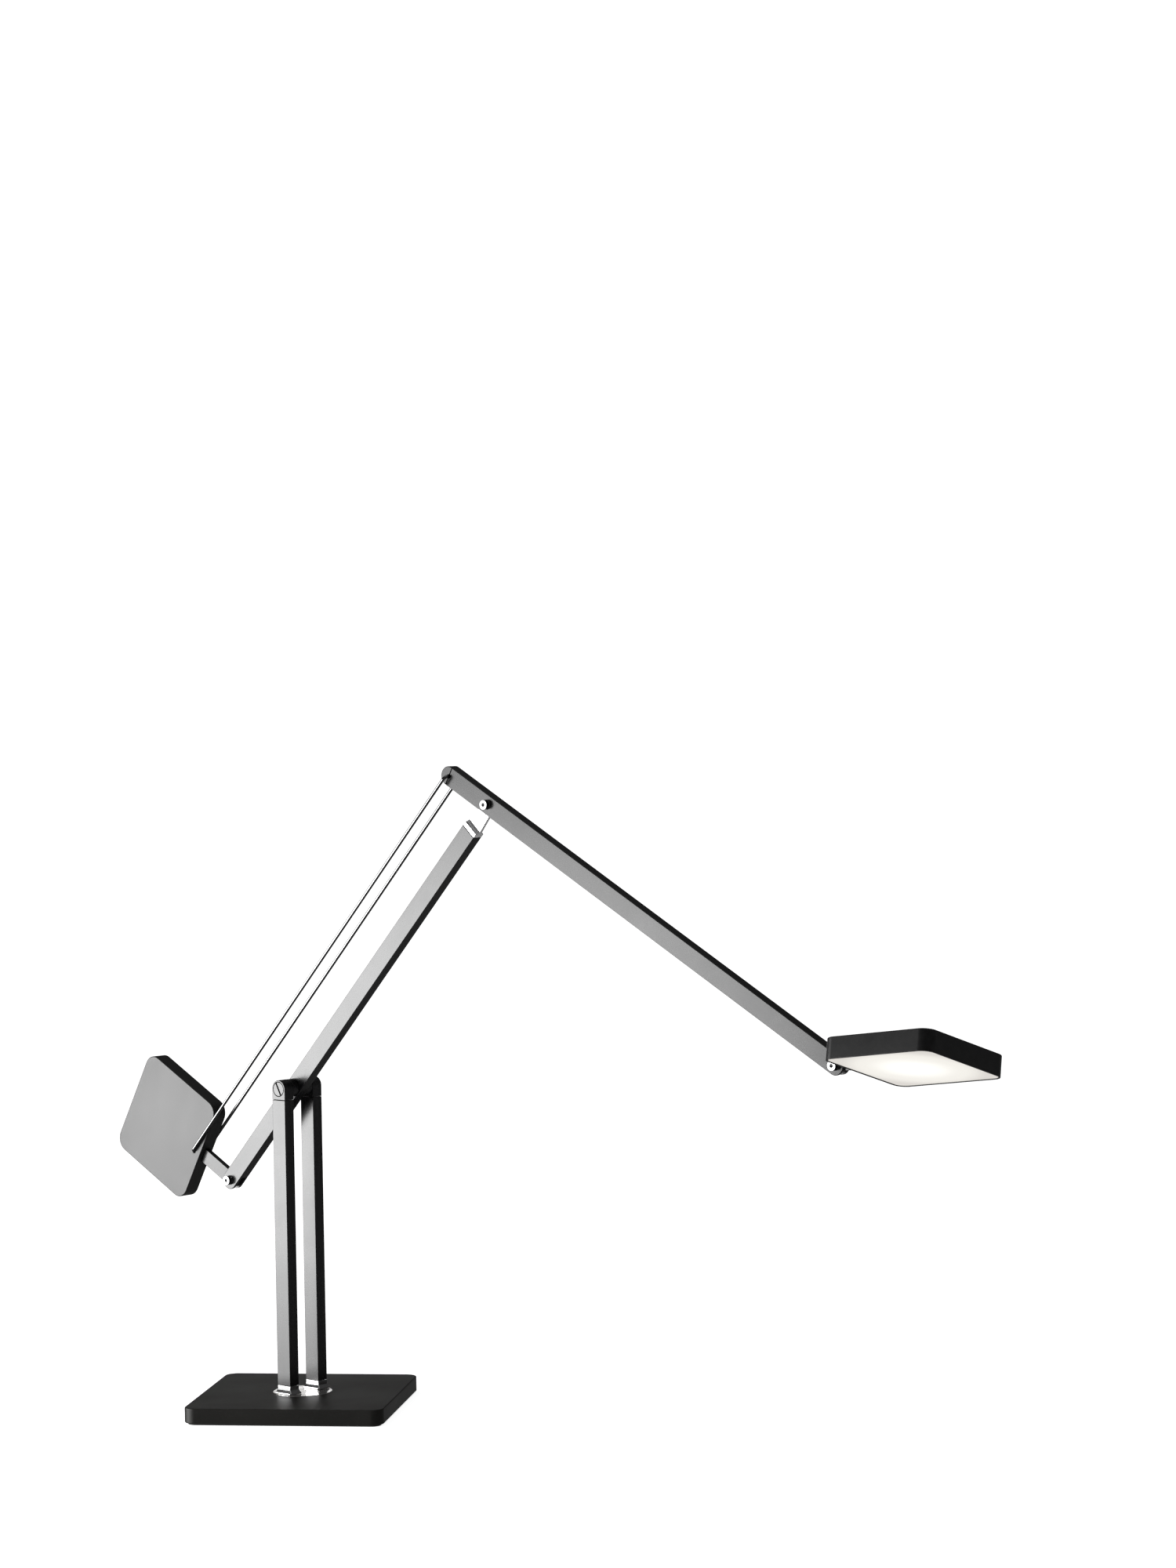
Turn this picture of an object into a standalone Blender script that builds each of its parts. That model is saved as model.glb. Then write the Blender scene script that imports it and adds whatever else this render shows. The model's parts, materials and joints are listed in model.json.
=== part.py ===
"""Architect desk lamp: a counterbalanced, two-arm LED desk lamp.

Metres, +Z up.  The origin is the centre of the base's underside.  The arms lie in the XZ plane and
reach towards +X, and every arm hinge turns about the Y axis.  The square base stands turned under them.
"""
import math

import bmesh
import bpy
from mathutils import Matrix, Vector

MM = 0.001
GAP = 0.3 * MM                  # clearance between pieces that rest on each other

# ---- base -------------------------------------------------------------------------------------
BASE_SIDE = 178 * MM
BASE_THICK = 13.5 * MM
BASE_CORNER = 11 * MM
BASE_TURN = math.radians(33)    # the base is turned this far under the arms
PAD_THICK = 1.2 * MM
PAD_INSET = 3 * MM
BASE_LOW = PAD_THICK + GAP
BASE_TOP = BASE_LOW + BASE_THICK
POCKET_R = 23.5 * MM            # round pocket under the turntable, which clears the foot screws
POCKET_DEEP = 5.0 * MM
BASE_EDGE = 0.8 * MM
BUSH_R = 10 * MM
BUSH_FLANGE_R = 14 * MM
BUSH_FLANGE = 1.6 * MM
SHAFT_R = 6 * MM
SHAFT_SLIP = 0.3 * MM           # the shaft is this much slimmer than the nut's and bush's bores allow
SHAFT_PLATE_R = 12 * MM         # the shaft's broad top, which the turntable disc lies on
SHAFT_PLATE = 3 * MM
WIRE_R = 3.2 * MM               # the wire's way up through the shaft

# ---- turntable and posts ----------------------------------------------------------------------
DISC_R = 26.5 * MM
DISC_THICK = 1.8 * MM
DISC_RIM = 0.6 * MM
DISC_PROUD = 0.4 * MM           # the disc lies in a recess and stands this far above the base
DISC_TOP = BASE_TOP + DISC_PROUD
DISC_LOW = DISC_TOP - DISC_THICK
POST_X = 16 * MM
POST_Y = 11 * MM
POST_MID = 17.75 * MM           # distance of each post's middle from the arm plane
POST_WALL = 2 * MM
FOOT_HIGH = 7.3 * MM
FOOT_FLARE = 1.9 * MM           # the post foot's lip stands out this far, then sweeps in to the post
FOOT_LIP = 0.9 * MM
FOOT_SWEEP = 2.72 * MM
FOOT_CORNER = 0.6 * MM
TUBE_INNER_CORNER = 0.8 * MM
SEAM_DROP = 9.6 * MM            # the post cap's seam lies this far under the axle
AXLE_Z = 288 * MM
AXLE_R = 4 * MM

# ---- arms -------------------------------------------------------------------------------------
ARM_HIGH = 16.5 * MM
ARM_WIDE = 10 * MM
ARM_WALL = 1.5 * MM
ARM_EDGE = 0.5 * MM
EAR_SLOT = 5.8 * MM             # the slot between the two ears at an arm's forked end
LOWER_ANGLE = math.radians(46.7)
LOWER_BACK = 122 * MM           # axle to the counterweight's pivot
LOWER_REACH = 349.5 * MM        # axle to the elbow
BRACKET_REACH = 31.7 * MM       # the elbow bracket carries on from the tube's cut end to the elbow
UPPER_ANGLE = math.radians(-29)
UPPER_REACH = 420 * MM          # elbow to the head's pivot
ROD_OFFSET = 49.4 * MM          # elbow to the tie rods' pivot, and the same at the counterweight
ROD_R = 1.5 * MM
ROD_Y = 9.75 * MM
TONGUE = 3.2 * MM

# ---- counterweight and head -------------------------------------------------------------------
WEIGHT_SIDE = 100 * MM
WEIGHT_THICK = 15 * MM
WEIGHT_CORNER = 12 * MM
WEIGHT_MID = 91.4 * MM
STUB_HIGH = 13 * MM
STUB_THICK = 5.2 * MM
HEAD_SIDE = 103 * MM
HEAD_THICK = 18 * MM
HEAD_CORNER = 10 * MM
HEAD_WALL = 1.5 * MM
HEAD_ROOF = 2 * MM
HEAD_MID = 74.5 * MM
HEAD_TILT = math.radians(7)
HEAD_ROLL = math.radians(17.4)
NECK_R = 4 * MM

# ---- pivots: screws with a round head and a hex socket -------------------------------------------
KNOB_R = 4.1 * MM
KNOB_HIGH = 4.5 * MM
KNOB_FLANGE_R = 4.9 * MM
KNOB_FLANGE = 0.8 * MM
KNOB_CHAMFER = 0.6 * MM
PIN_R = 2.5 * MM
SOCKET_R = 1.65 * MM
SOCKET_DEEP = 2 * MM
ARC_STEPS = 8                   # points on a quarter circle of the larger outlines
ROUND = 20                      # sides of a drilled hole or a turned part of middling size
ROUND_FINE = 44
ROUND_SMALL = 14
SWEEP_STEPS = 5                 # steps along a hollow sweep
LEAST_CORNER = 0.02 * MM

COLOURS = {                     # name: (colour, metallic, roughness)
    "black_anodised": ((0.035, 0.035, 0.037, 1), 0.6, 0.38),
    "black_coated_steel": ((0.05, 0.048, 0.045, 1), 0.4, 0.45),
    "polished_steel": ((0.75, 0.75, 0.76, 1), 1.0, 0.15),
    "plain_steel": ((0.45, 0.45, 0.46, 1), 1.0, 0.35),
    "bronze": ((0.55, 0.38, 0.2, 1), 1.0, 0.4),
    "aluminium": ((0.7, 0.7, 0.71, 1), 1.0, 0.4),
    "opal_diffuser": ((0.93, 0.92, 0.88, 1), 0.0, 0.5),
    "circuit_board": ((0.85, 0.85, 0.83, 1), 0.0, 0.5),
    "white_plastic": ((0.85, 0.85, 0.84, 1), 0.0, 0.5),
    "black_plastic": ((0.02, 0.02, 0.02, 1), 0.0, 0.4),
    "rubber": ((0.03, 0.03, 0.03, 1), 0.0, 0.9),
}


# ---- helpers ----------------------------------------------------------------------------------
def clear_scene():
    for item in list(bpy.data.objects):
        bpy.data.objects.remove(item, do_unlink=True)


def material(name):
    found = bpy.data.materials.get(name)
    if found:
        return found
    colour, metallic, roughness = COLOURS[name]
    made = bpy.data.materials.new(name)
    made.use_nodes = True
    shader = made.node_tree.nodes["Principled BSDF"]
    shader.inputs["Base Color"].default_value = colour
    shader.inputs["Metallic"].default_value = metallic
    shader.inputs["Roughness"].default_value = roughness
    return made


def frame_empty(name, place, angle=0.0, parent=None, turn=None):
    """An empty at a joint, whose X axis points angle above the horizontal (turned about Y)."""
    empty = bpy.data.objects.new(name, None)
    bpy.context.collection.objects.link(empty)
    matrix = turn if turn is not None else Matrix.Rotation(-angle, 4, "Y")
    empty.matrix_world = Matrix.Translation(place) @ matrix
    bpy.context.view_layer.update()
    if parent:
        world = empty.matrix_world.copy()
        empty.parent = parent
        empty.matrix_parent_inverse = parent.matrix_world.inverted()
        empty.matrix_world = world
        bpy.context.view_layer.update()
    return empty


def piece(name, mesh, finish, parent):
    mesh.materials.clear()
    mesh.materials.append(material(finish))
    made = bpy.data.objects.new(name, mesh)
    made.parent = parent
    bpy.context.collection.objects.link(made)
    return made


def finished(mesh_maker, name, smooth_angle=32):
    bmesh.ops.recalc_face_normals(mesh_maker, faces=mesh_maker.faces)
    mesh = bpy.data.meshes.new(name)
    mesh_maker.to_mesh(mesh)
    mesh_maker.free()
    mesh.shade_smooth()
    mesh.set_sharp_from_angle(angle=math.radians(smooth_angle))
    return mesh


def loft(name, rings):
    """A closed body through rings of points, each ring with the same number of points."""
    build = bmesh.new()
    rows = [[build.verts.new(point) for point in ring] for ring in rings]
    for low, high in zip(rows, rows[1:]):
        for i in range(len(low)):
            j = (i + 1) % len(low)
            build.faces.new((low[i], low[j], high[j], high[i]))
    build.faces.new(rows[0])
    build.faces.new(rows[-1])
    return finished(build, name)


def arc(centre, radius, start, end, steps):
    """Points on an arc from start to end, in degrees."""
    points = []
    for i in range(steps + 1):
        angle = math.radians(start + (end - start) * i / steps)
        points.append((centre[0] + radius * math.cos(angle), centre[1] + radius * math.sin(angle)))
    return points


def rounded(width, height, corner, middle=(0, 0), steps=ARC_STEPS // 2):
    """The outline of a rectangle with round corners, as a function of how far it is drawn in."""
    def outline(inset=0.0):
        half_w = width / 2 - inset
        half_h = height / 2 - inset
        radius = max(corner - inset, LEAST_CORNER)
        points = []
        for sx, sy, start in ((1, 1, 0), (-1, 1, 90), (-1, -1, 180), (1, -1, 270)):
            centre = (middle[0] + sx * (half_w - radius), middle[1] + sy * (half_h - radius))
            points += arc(centre, radius, start, start + 90, steps)
        return points
    return outline


def round_left(left, right, radius, steps=ARC_STEPS * 2):
    """A bar with a round end about (left, 0) and a square end at right."""
    def outline(inset=0.0):
        size = radius - inset
        return [(right - inset, -size), (right - inset, size)] + arc((left, 0), size, 90, 270, steps)
    return outline


def round_right(left, right, radius, steps=ARC_STEPS * 2):
    """A bar with a square end at left and a round end about (right, 0)."""
    def outline(inset=0.0):
        size = radius - inset
        return [(left + inset, size), (left + inset, -size)] + arc((right, 0), size, -90, 90, steps)
    return outline


def across(outline, low, high, edge=0.0):
    """Rings for an XZ outline that runs from low to high along Y, with chamfered edges."""
    levels = [(low, edge), (low + edge, 0), (high - edge, 0), (high, edge)] if edge else [(low, 0), (high, 0)]
    return [[(x, y, z) for x, z in outline(inset)] for y, inset in levels]


def upright(outline, levels):
    """Rings for an XY outline at each (height, inset)."""
    return [[(x, y, z) for x, y in outline(inset)] for z, inset in levels]


def turned(name, profile, axis="Y", place=(0, 0, 0), steps=20):
    """A solid of revolution: profile holds (distance along the axis, radius), from end to end."""
    rings = []
    for distance, radius in profile:
        ring = []
        for i in range(steps):
            angle = 2 * math.pi * i / steps
            a, b = radius * math.cos(angle), radius * math.sin(angle)
            spot = {"X": (distance, a, b), "Y": (a, distance, b), "Z": (a, b, distance)}[axis]
            ring.append(tuple(s + p for s, p in zip(spot, place)))
        rings.append(ring)
    return loft(name, rings)


def cutter(name, mesh, parent):
    made = bpy.data.objects.new("cut_" + name, mesh)
    made.parent = parent
    made.hide_render = True
    made.display_type = "WIRE"
    bpy.context.collection.objects.link(made)
    return made


def cut(target, *meshes, operation="DIFFERENCE"):
    """Cut each mesh out of the target, or join it on with UNION."""
    for number, mesh in enumerate(meshes):
        tool = cutter(f"{target.name}_{operation[:1]}{number}", mesh, target.parent)
        change = target.modifiers.new(tool.name, "BOOLEAN")
        change.operation = operation
        change.solver = "EXACT"
        change.object = tool


def join(target, *meshes):
    cut(target, *meshes, operation="UNION")


def box(low, high):
    (x0, y0, z0), (x1, y1, z1) = low, high
    corners = [(x0, y0), (x1, y0), (x1, y1), (x0, y1)]
    return loft("box", [[(x, y, z) for x, y in corners] for z in (z0, z1)])


def rod_mesh(low, high, radius, axis="Y", place=(0, 0, 0), steps=18):
    return turned("rod", [(low, radius), (high, radius)], axis, place, steps)


def merged(name, *meshes):
    """Several bodies in one mesh, for a cutter or a union."""
    build = bmesh.new()
    for mesh in meshes:
        build.from_mesh(mesh)
    return finished(build, name)


def bore(target, mesh, word="bore"):
    """One more cut, whose cutter is named after the piece and a word."""
    tool = cutter(f"{target.name}_{word}", mesh, target.parent)
    change = target.modifiers.new(tool.name, "BOOLEAN")
    change.operation = "DIFFERENCE"
    change.solver = "EXACT"
    change.object = tool


def numbered(name, meshes, finish, parent):
    """Equal fasteners, each its own node: name_1, name_2 and so on."""
    for number, mesh in enumerate(meshes, 1):
        piece(f"{name}_{number}", mesh, finish, parent)


# ---- base -------------------------------------------------------------------------------------
INLET_SIDE = 9 * MM
INLET_DEEP = 13 * MM
INLET_Z = BASE_LOW + 6.6 * MM
INLET_FLUSH = 0.2 * MM          # the inlet's mouth lies this far inside the base's rear face
INLET_HOLE_R = 2.8 * MM
INLET_HOLE = 10 * MM
INLET_PIN_R = 1.0 * MM
INLET_PIN_BACK = 1.5 * MM
NUT_R = 11 * MM
NUT_HIGH = 2.8 * MM
NUT_ROOM = 2 * MM
NUT_POCKET = 4.2 * MM
NUT_RAISE = 0.9 * MM
GROOVE_HALF = 2.5 * MM          # half the width of the wire's groove from the inlet to the nut's pocket
GROOVE_DEEP = 4 * MM


def make_base(root):
    plate = rounded(BASE_SIDE, BASE_SIDE, BASE_CORNER, steps=ARC_STEPS)
    levels = [(BASE_LOW, BASE_EDGE), (BASE_LOW + BASE_EDGE, 0), (BASE_TOP - BASE_EDGE, 0),
              (BASE_TOP, BASE_EDGE)]
    base = piece("base_plate", loft("base_plate", upright(plate, levels)), "black_coated_steel", root)
    rear = BASE_SIDE / 2
    inlet_room = INLET_SIDE / 2 + GAP
    cut(base,
        rod_mesh(BASE_TOP - POCKET_DEEP, BASE_TOP + MM, POCKET_R, "Z", steps=ROUND_FINE),
        rod_mesh(DISC_LOW - GAP, BASE_TOP + MM, DISC_R + GAP, "Z", steps=ROUND_FINE),
        rod_mesh(BASE_LOW - MM, BASE_TOP, BUSH_R + GAP, "Z", steps=24),
        rod_mesh(BASE_LOW - MM, BASE_LOW + NUT_POCKET, NUT_R + NUT_ROOM, "Z", steps=24),
        box((-inlet_room, rear - INLET_DEEP - GAP, INLET_Z - inlet_room),
            (inlet_room, rear + MM, INLET_Z + inlet_room)),
        box((-GROOVE_HALF, 0, BASE_LOW - MM), (GROOVE_HALF, rear - INLET_DEEP + MM, BASE_LOW + GROOVE_DEEP)))

    pad_side = BASE_SIDE - 2 * PAD_INSET
    pad = rounded(pad_side, pad_side, BASE_CORNER - PAD_INSET, steps=6)
    piece("foot_pad", loft("foot_pad", upright(pad, [(0, 0), (PAD_THICK, 0)])), "rubber", root)

    floor = BASE_LOW + NUT_POCKET
    shelf = BASE_TOP - POCKET_DEEP
    bush = piece("swivel_bush", turned("swivel_bush", [
        (floor, BUSH_R), (shelf + GAP, BUSH_R), (shelf + GAP, BUSH_FLANGE_R),
        (shelf + BUSH_FLANGE, BUSH_FLANGE_R)], "Z", steps=24), "bronze", root)
    cut(bush, rod_mesh(floor - MM, BASE_TOP, SHAFT_R + GAP, "Z", steps=24))

    body = box((-INLET_SIDE / 2, rear - INLET_DEEP, INLET_Z - INLET_SIDE / 2),
               (INLET_SIDE / 2, rear - INLET_FLUSH, INLET_Z + INLET_SIDE / 2))
    inlet = piece("power_inlet", body, "black_plastic", root)
    cut(inlet, rod_mesh(rear - INLET_HOLE, rear + MM, INLET_HOLE_R, "Y", (0, 0, INLET_Z), ROUND))
    join(inlet, rod_mesh(rear - INLET_HOLE - GAP, rear - INLET_PIN_BACK, INLET_PIN_R, "Y", (0, 0, INLET_Z), 12))


# ---- turntable, posts and axle -------------------------------------------------------------------
SPIGOT_HIGH = 9 * MM            # how far a foot's and a cap's spigot reach into the post
SPIGOT_ROOT = 3 * MM
POST_WIRE_R = 1.6 * MM
FOOT_SCREW_X = 5 * MM
FOOT_SCREW_R = 1.5 * MM
FOOT_SCREW_HEAD_R = 2.6 * MM
FOOT_SCREW_HEAD = 2.4 * MM
FOOT_SCREW_REACH = 4.6 * MM
SHAFT_RAISE = 0.6 * MM


def foot_rings(side, level_low):
    """A square ferrule whose foot sweeps out in a hollow curve."""
    lip_top = level_low + FOOT_LIP
    levels = [(level_low, FOOT_FLARE), (lip_top, FOOT_FLARE)]
    for i in range(1, SWEEP_STEPS + 1):
        angle = math.radians(90 * i / SWEEP_STEPS)
        levels.append((lip_top + FOOT_SWEEP * math.sin(angle), FOOT_FLARE * (1 - math.sin(angle))))
    levels.append((level_low + FOOT_HIGH, 0))
    rings = []
    for z, grow in levels:
        corner = FOOT_CORNER * (1 + grow / MM)
        outline = rounded(POST_X + 2 * grow, POST_Y + 2 * grow, corner, (0, side * POST_MID), 3)
        rings.append([(x, y, z) for x, y in outline()])
    return rings


def make_turntable(root):
    disc = piece("turntable_disc", turned("turntable_disc", [
        (DISC_LOW, DISC_R - DISC_RIM / 2), (DISC_LOW + DISC_RIM / 2, DISC_R), (DISC_TOP - DISC_RIM, DISC_R),
        (DISC_TOP, DISC_R - DISC_RIM)], "Z", steps=ROUND_FINE), "polished_steel", root)
    slim = SHAFT_R - SHAFT_SLIP
    plate_low = BASE_TOP - SHAFT_PLATE
    shaft = piece("swivel_shaft", turned("swivel_shaft", [
        (BASE_LOW + SHAFT_RAISE, slim), (plate_low, slim), (plate_low, SHAFT_PLATE_R),
        (DISC_LOW - GAP, SHAFT_PLATE_R)], "Z", steps=24), "plain_steel", root)
    cut(shaft, rod_mesh(0, BASE_TOP + MM, WIRE_R, "Z", steps=ROUND))
    nut_low = BASE_LOW + NUT_RAISE
    nut = piece("swivel_nut", rod_mesh(nut_low, nut_low + NUT_HIGH, NUT_R, "Z", steps=6), "plain_steel", root)
    cut(nut, rod_mesh(0, BASE_TOP, slim + GAP, "Z", steps=24))

    foot_low = DISC_TOP + GAP
    post_low = foot_low + FOOT_HIGH + GAP
    post_high = AXLE_Z - SEAM_DROP - GAP
    inner_x = POST_X - 2 * POST_WALL
    inner_y = POST_Y - 2 * POST_WALL
    screws = []
    screw_holes = []
    for side, word in ((-1, "near"), (1, "far")):
        middle = side * POST_MID
        foot = piece(f"{word}_post_foot", loft("foot", foot_rings(side, foot_low)), "polished_steel", root)
        spigot = rounded(inner_x - 2 * GAP, inner_y - 2 * GAP, TUBE_INNER_CORNER, (0, middle), 2)
        join(foot, loft("spigot", upright(spigot, [
            (foot_low + SPIGOT_ROOT, 0), (post_low + SPIGOT_HIGH, 0)])))
        hole_spot = (0, middle, 0)
        wire_top = post_low + SPIGOT_HIGH + MM
        cut(foot, rod_mesh(DISC_LOW - MM, wire_top, POST_WIRE_R, "Z", hole_spot, ROUND_SMALL))
        screw_holes.append(rod_mesh(DISC_LOW - MM, DISC_TOP + MM, POST_WIRE_R, "Z", hole_spot, ROUND_SMALL))
        for x in (-FOOT_SCREW_X, FOOT_SCREW_X):
            spot = (x, middle, 0)
            hole_r = FOOT_SCREW_R + GAP
            tap_top = foot_low + FOOT_SCREW_REACH + GAP
            screws.append(turned("screw", [
                (DISC_LOW - FOOT_SCREW_HEAD, FOOT_SCREW_HEAD_R), (DISC_LOW - GAP, FOOT_SCREW_HEAD_R),
                (DISC_LOW - GAP, FOOT_SCREW_R), (foot_low + FOOT_SCREW_REACH, FOOT_SCREW_R)],
                "Z", spot, ROUND_SMALL))
            screw_holes.append(rod_mesh(DISC_LOW - MM, DISC_TOP + MM, hole_r, "Z", spot, ROUND_SMALL))
            bore(foot, rod_mesh(foot_low - MM, tap_top, hole_r, "Z", spot, ROUND_SMALL), f"tap{x:.3f}")

        outer = rounded(POST_X, POST_Y, ARM_EDGE, (0, middle), 2)
        post = piece(f"{word}_post", loft("post", upright(outer, [(post_low, 0), (post_high, 0)])),
                     "black_anodised", root)
        hollow = rounded(inner_x, inner_y, TUBE_INNER_CORNER, (0, middle), 2)
        cut(post, loft("hollow", upright(hollow, [(post_low - MM, 0), (post_high + MM, 0)])))
    cut(disc, *screw_holes)
    numbered("foot_screw", screws, "plain_steel", root)


SCREW_HEAD_R = 6.3 * MM
SCREW_HEAD = 3 * MM
SCREW_SHANK_R = 2.5 * MM
SCREW_SHANK = 8 * MM
SCREW_CHAMFER = 0.3 * MM
SLOT_TILT = math.radians(62)    # the driver slots of the axle screws stand this steep
SLOT_HALF = 0.75 * MM
SLOT_DEEP = 1.0 * MM
SPACER_R = 7.9 * MM
SPACER_EDGE = 0.4 * MM


def axle_screw(side, outer):
    """A flush screw with a head sunk into the post cap, whose face lies at outer."""
    depths = [(0, SCREW_HEAD_R - SCREW_CHAMFER), (SCREW_CHAMFER, SCREW_HEAD_R), (SCREW_HEAD, SCREW_HEAD_R),
              (SCREW_HEAD, SCREW_SHANK_R), (SCREW_HEAD + SCREW_SHANK, SCREW_SHANK_R)]
    return turned("axle_screw", [(side * (outer - deep), radius) for deep, radius in depths], "Y", steps=28)


def make_axle(hub):
    """The caps, axle, screws and spacers, all about the axle's own centre."""
    inner = POST_MID - POST_Y / 2
    outer = POST_MID + POST_Y / 2
    for side, word in ((-1, "near"), (1, "far")):
        low, high = sorted((side * inner, side * outer))

        def shape(inset=0.0):
            half = POST_X / 2 - inset
            return [(half, -SEAM_DROP + inset)] + arc((0, 0), half, 0, 180, 2 * ARC_STEPS) + [
                (-half, -SEAM_DROP + inset)]
        cap = piece(f"{word}_post_cap", loft("cap", across(shape, low, high, ARM_EDGE)),
                    "black_anodised", hub)
        spigot = rounded(POST_X - 2 * POST_WALL - 2 * GAP, POST_Y - 2 * POST_WALL - 2 * GAP, TUBE_INNER_CORNER,
                         (0, side * POST_MID), 2)
        join(cap, loft("spigot", upright(spigot, [(-SEAM_DROP - SPIGOT_HIGH, 0), (-SEAM_DROP + 2 * MM, 0)])))
        recess_low = side * (outer - SCREW_HEAD - GAP)
        cut(cap, rod_mesh(low - MM, high + MM, AXLE_R + GAP, "Y", steps=20),
            rod_mesh(recess_low, side * (outer + MM), SCREW_HEAD_R + GAP, "Y", steps=28))

        screw = piece(f"{word}_axle_screw", axle_screw(side, outer), "black_anodised", hub)
        slot = box((-SCREW_HEAD_R - MM, -SLOT_DEEP, -SLOT_HALF), (SCREW_HEAD_R + MM, SLOT_DEEP, SLOT_HALF))
        slot.transform(Matrix.Translation((0, side * outer, 0)) @ Matrix.Rotation(SLOT_TILT, 4, "Y"))
        cut(screw, slot)

        spacer_low, spacer_high = sorted((side * (ARM_WIDE / 2 + GAP), side * (inner - GAP)))
        spacer = piece(f"{word}_spacer", turned("spacer", [
            (spacer_low, SPACER_R - SPACER_EDGE), (spacer_low + SPACER_EDGE, SPACER_R),
            (spacer_high - SPACER_EDGE, SPACER_R), (spacer_high, SPACER_R - SPACER_EDGE)],
            "Y", steps=24), "black_anodised", hub)
        cut(spacer, rod_mesh(spacer_low - MM, spacer_high + MM, AXLE_R + GAP, "Y", steps=20))

    reach = outer - SCREW_HEAD - 2 * GAP
    axle = piece("pivot_axle", rod_mesh(-reach, reach, AXLE_R, "Y", steps=20), "plain_steel", hub)
    for side in (-1, 1):
        tap_in, tap_out = sorted((side * (reach - SCREW_SHANK - MM), side * (reach + MM)))
        bore(axle, rod_mesh(tap_in, tap_out, SCREW_SHANK_R + GAP, "Y", steps=20), f"tap{side}")


# ---- pivots -----------------------------------------------------------------------------------
def knob_profile(side, face):
    """The turned outline of a pivot screw's head, standing out from an arm's face."""
    seat = face + GAP
    front = face + KNOB_HIGH
    distances = [(seat, KNOB_FLANGE_R), (seat + KNOB_FLANGE, KNOB_FLANGE_R), (seat + KNOB_FLANGE, KNOB_R),
                 (front - KNOB_CHAMFER, KNOB_R), (front, KNOB_R - KNOB_CHAMFER)]
    return [(side * distance, radius) for distance, radius in distances]


def make_pivot(name, frame, x, face=ARM_WIDE / 2):
    """A near-side screw with a hex socket and its far-side nut, through the hinge at (x, 0)."""
    place = (x, 0, 0)
    profile = [(face - GAP, PIN_R), (-face - GAP, PIN_R)] + knob_profile(-1, face)
    screw = piece(f"{name}_screw", turned("pivot_screw", profile, "Y", place, 20), "polished_steel", frame)
    front = -face - KNOB_HIGH
    cut(screw, rod_mesh(front - MM, front + SOCKET_DEEP, SOCKET_R, "Y", place, 6))
    nut = piece(f"{name}_nut", turned("pivot_nut", knob_profile(1, face), "Y", place, 20),
                "polished_steel", frame)
    back = face + KNOB_HIGH
    cut(nut, rod_mesh(back - SOCKET_DEEP, back + MM, SOCKET_R, "Y", place, 6))


# ---- lower arm --------------------------------------------------------------------------------
BUSH_OUT = 5.4 * MM
END_STEPS = 7                   # steps round the tongue's end
TONGUE_END_R = 6.3 * MM
BLOCK_LONG = 3.6 * MM
BLOCK_EDGE = 0.3 * MM
PLUG_LONG = 18 * MM             # the bracket's plug inside the tube
EAR_DEEP = 11 * MM              # an arm's fork is slotted this far behind its pivot
LOWER_SOLID = 24 * MM           # the lower arm's rear end is solid this far in front of its pivot


def make_lower_arm(frame):
    half = ARM_WIDE / 2
    radius = ARM_HIGH / 2
    tube_end = LOWER_REACH - BRACKET_REACH
    outline = round_left(-LOWER_BACK, tube_end, radius)
    arm = piece("lower_arm_tube", loft("lower_arm", across(outline, -half, half, ARM_EDGE)),
                "black_anodised", frame)
    room_z = radius - ARM_WALL
    room_y = half - ARM_WALL
    slot = EAR_SLOT / 2
    cut(arm,
        box((LOWER_SOLID - LOWER_BACK, -room_y, -room_z), (tube_end + MM, room_y, room_z)),
        box((-LOWER_BACK - ARM_WIDE, -slot, -ARM_WIDE), (-LOWER_BACK + EAR_DEEP, slot, ARM_WIDE)),
        rod_mesh(-half - MM, half + MM, PIN_R + GAP, "Y", (-LOWER_BACK, 0, 0), 18),
        rod_mesh(-half - MM, half + MM, BUSH_OUT + GAP, "Y", steps=24))
    bush = piece("arm_bush", rod_mesh(-half, half, BUSH_OUT, "Y", steps=24), "bronze", frame)
    cut(bush, rod_mesh(-half - MM, half + MM, AXLE_R + GAP, "Y", steps=20))
    make_pivot("counterweight_pivot", frame, -LOWER_BACK)
    make_elbow_bracket(frame, tube_end)


def make_elbow_bracket(frame, tube_end):
    """A block on the tube's cut end that thins, in two hollow sweeps, to the elbow's tongue."""
    foot = tube_end + GAP
    sweep = (ARM_WIDE - TONGUE) / 2
    sweep_low = foot + BLOCK_LONG
    tall = ARM_HIGH / 2
    wide = ARM_WIDE / 2
    stations = [(foot, tall - BLOCK_EDGE, wide - BLOCK_EDGE), (foot + BLOCK_EDGE, tall, wide),
                (sweep_low, tall, wide)]
    for i in range(1, SWEEP_STEPS + 1):
        angle = math.radians(90 * i / SWEEP_STEPS)
        stations.append((sweep_low + sweep * (1 - math.cos(angle)), tall, wide - sweep * math.sin(angle)))
    for i in range(END_STEPS + 1):
        angle = math.radians(-10 + 94 * i / END_STEPS)
        stations.append((LOWER_REACH + TONGUE_END_R * math.sin(angle), TONGUE_END_R * math.cos(angle),
                         TONGUE / 2))
    rings = []
    for x, tall, wide in stations:
        rings.append([(x, -wide, -tall), (x, wide, -tall), (x, wide, tall), (x, -wide, tall)])
    bracket = piece("elbow_bracket", loft("elbow_bracket", rings), "polished_steel", frame)
    room_z = ARM_HIGH / 2 - ARM_WALL - GAP
    room_y = ARM_WIDE / 2 - ARM_WALL - GAP
    join(bracket, box((tube_end - PLUG_LONG, -room_y, -room_z), (foot + MM, room_y, room_z)))
    bore(bracket, rod_mesh(-ARM_WIDE, ARM_WIDE, PIN_R + GAP, "Y", (LOWER_REACH, 0, 0), 18), "eye")


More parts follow.
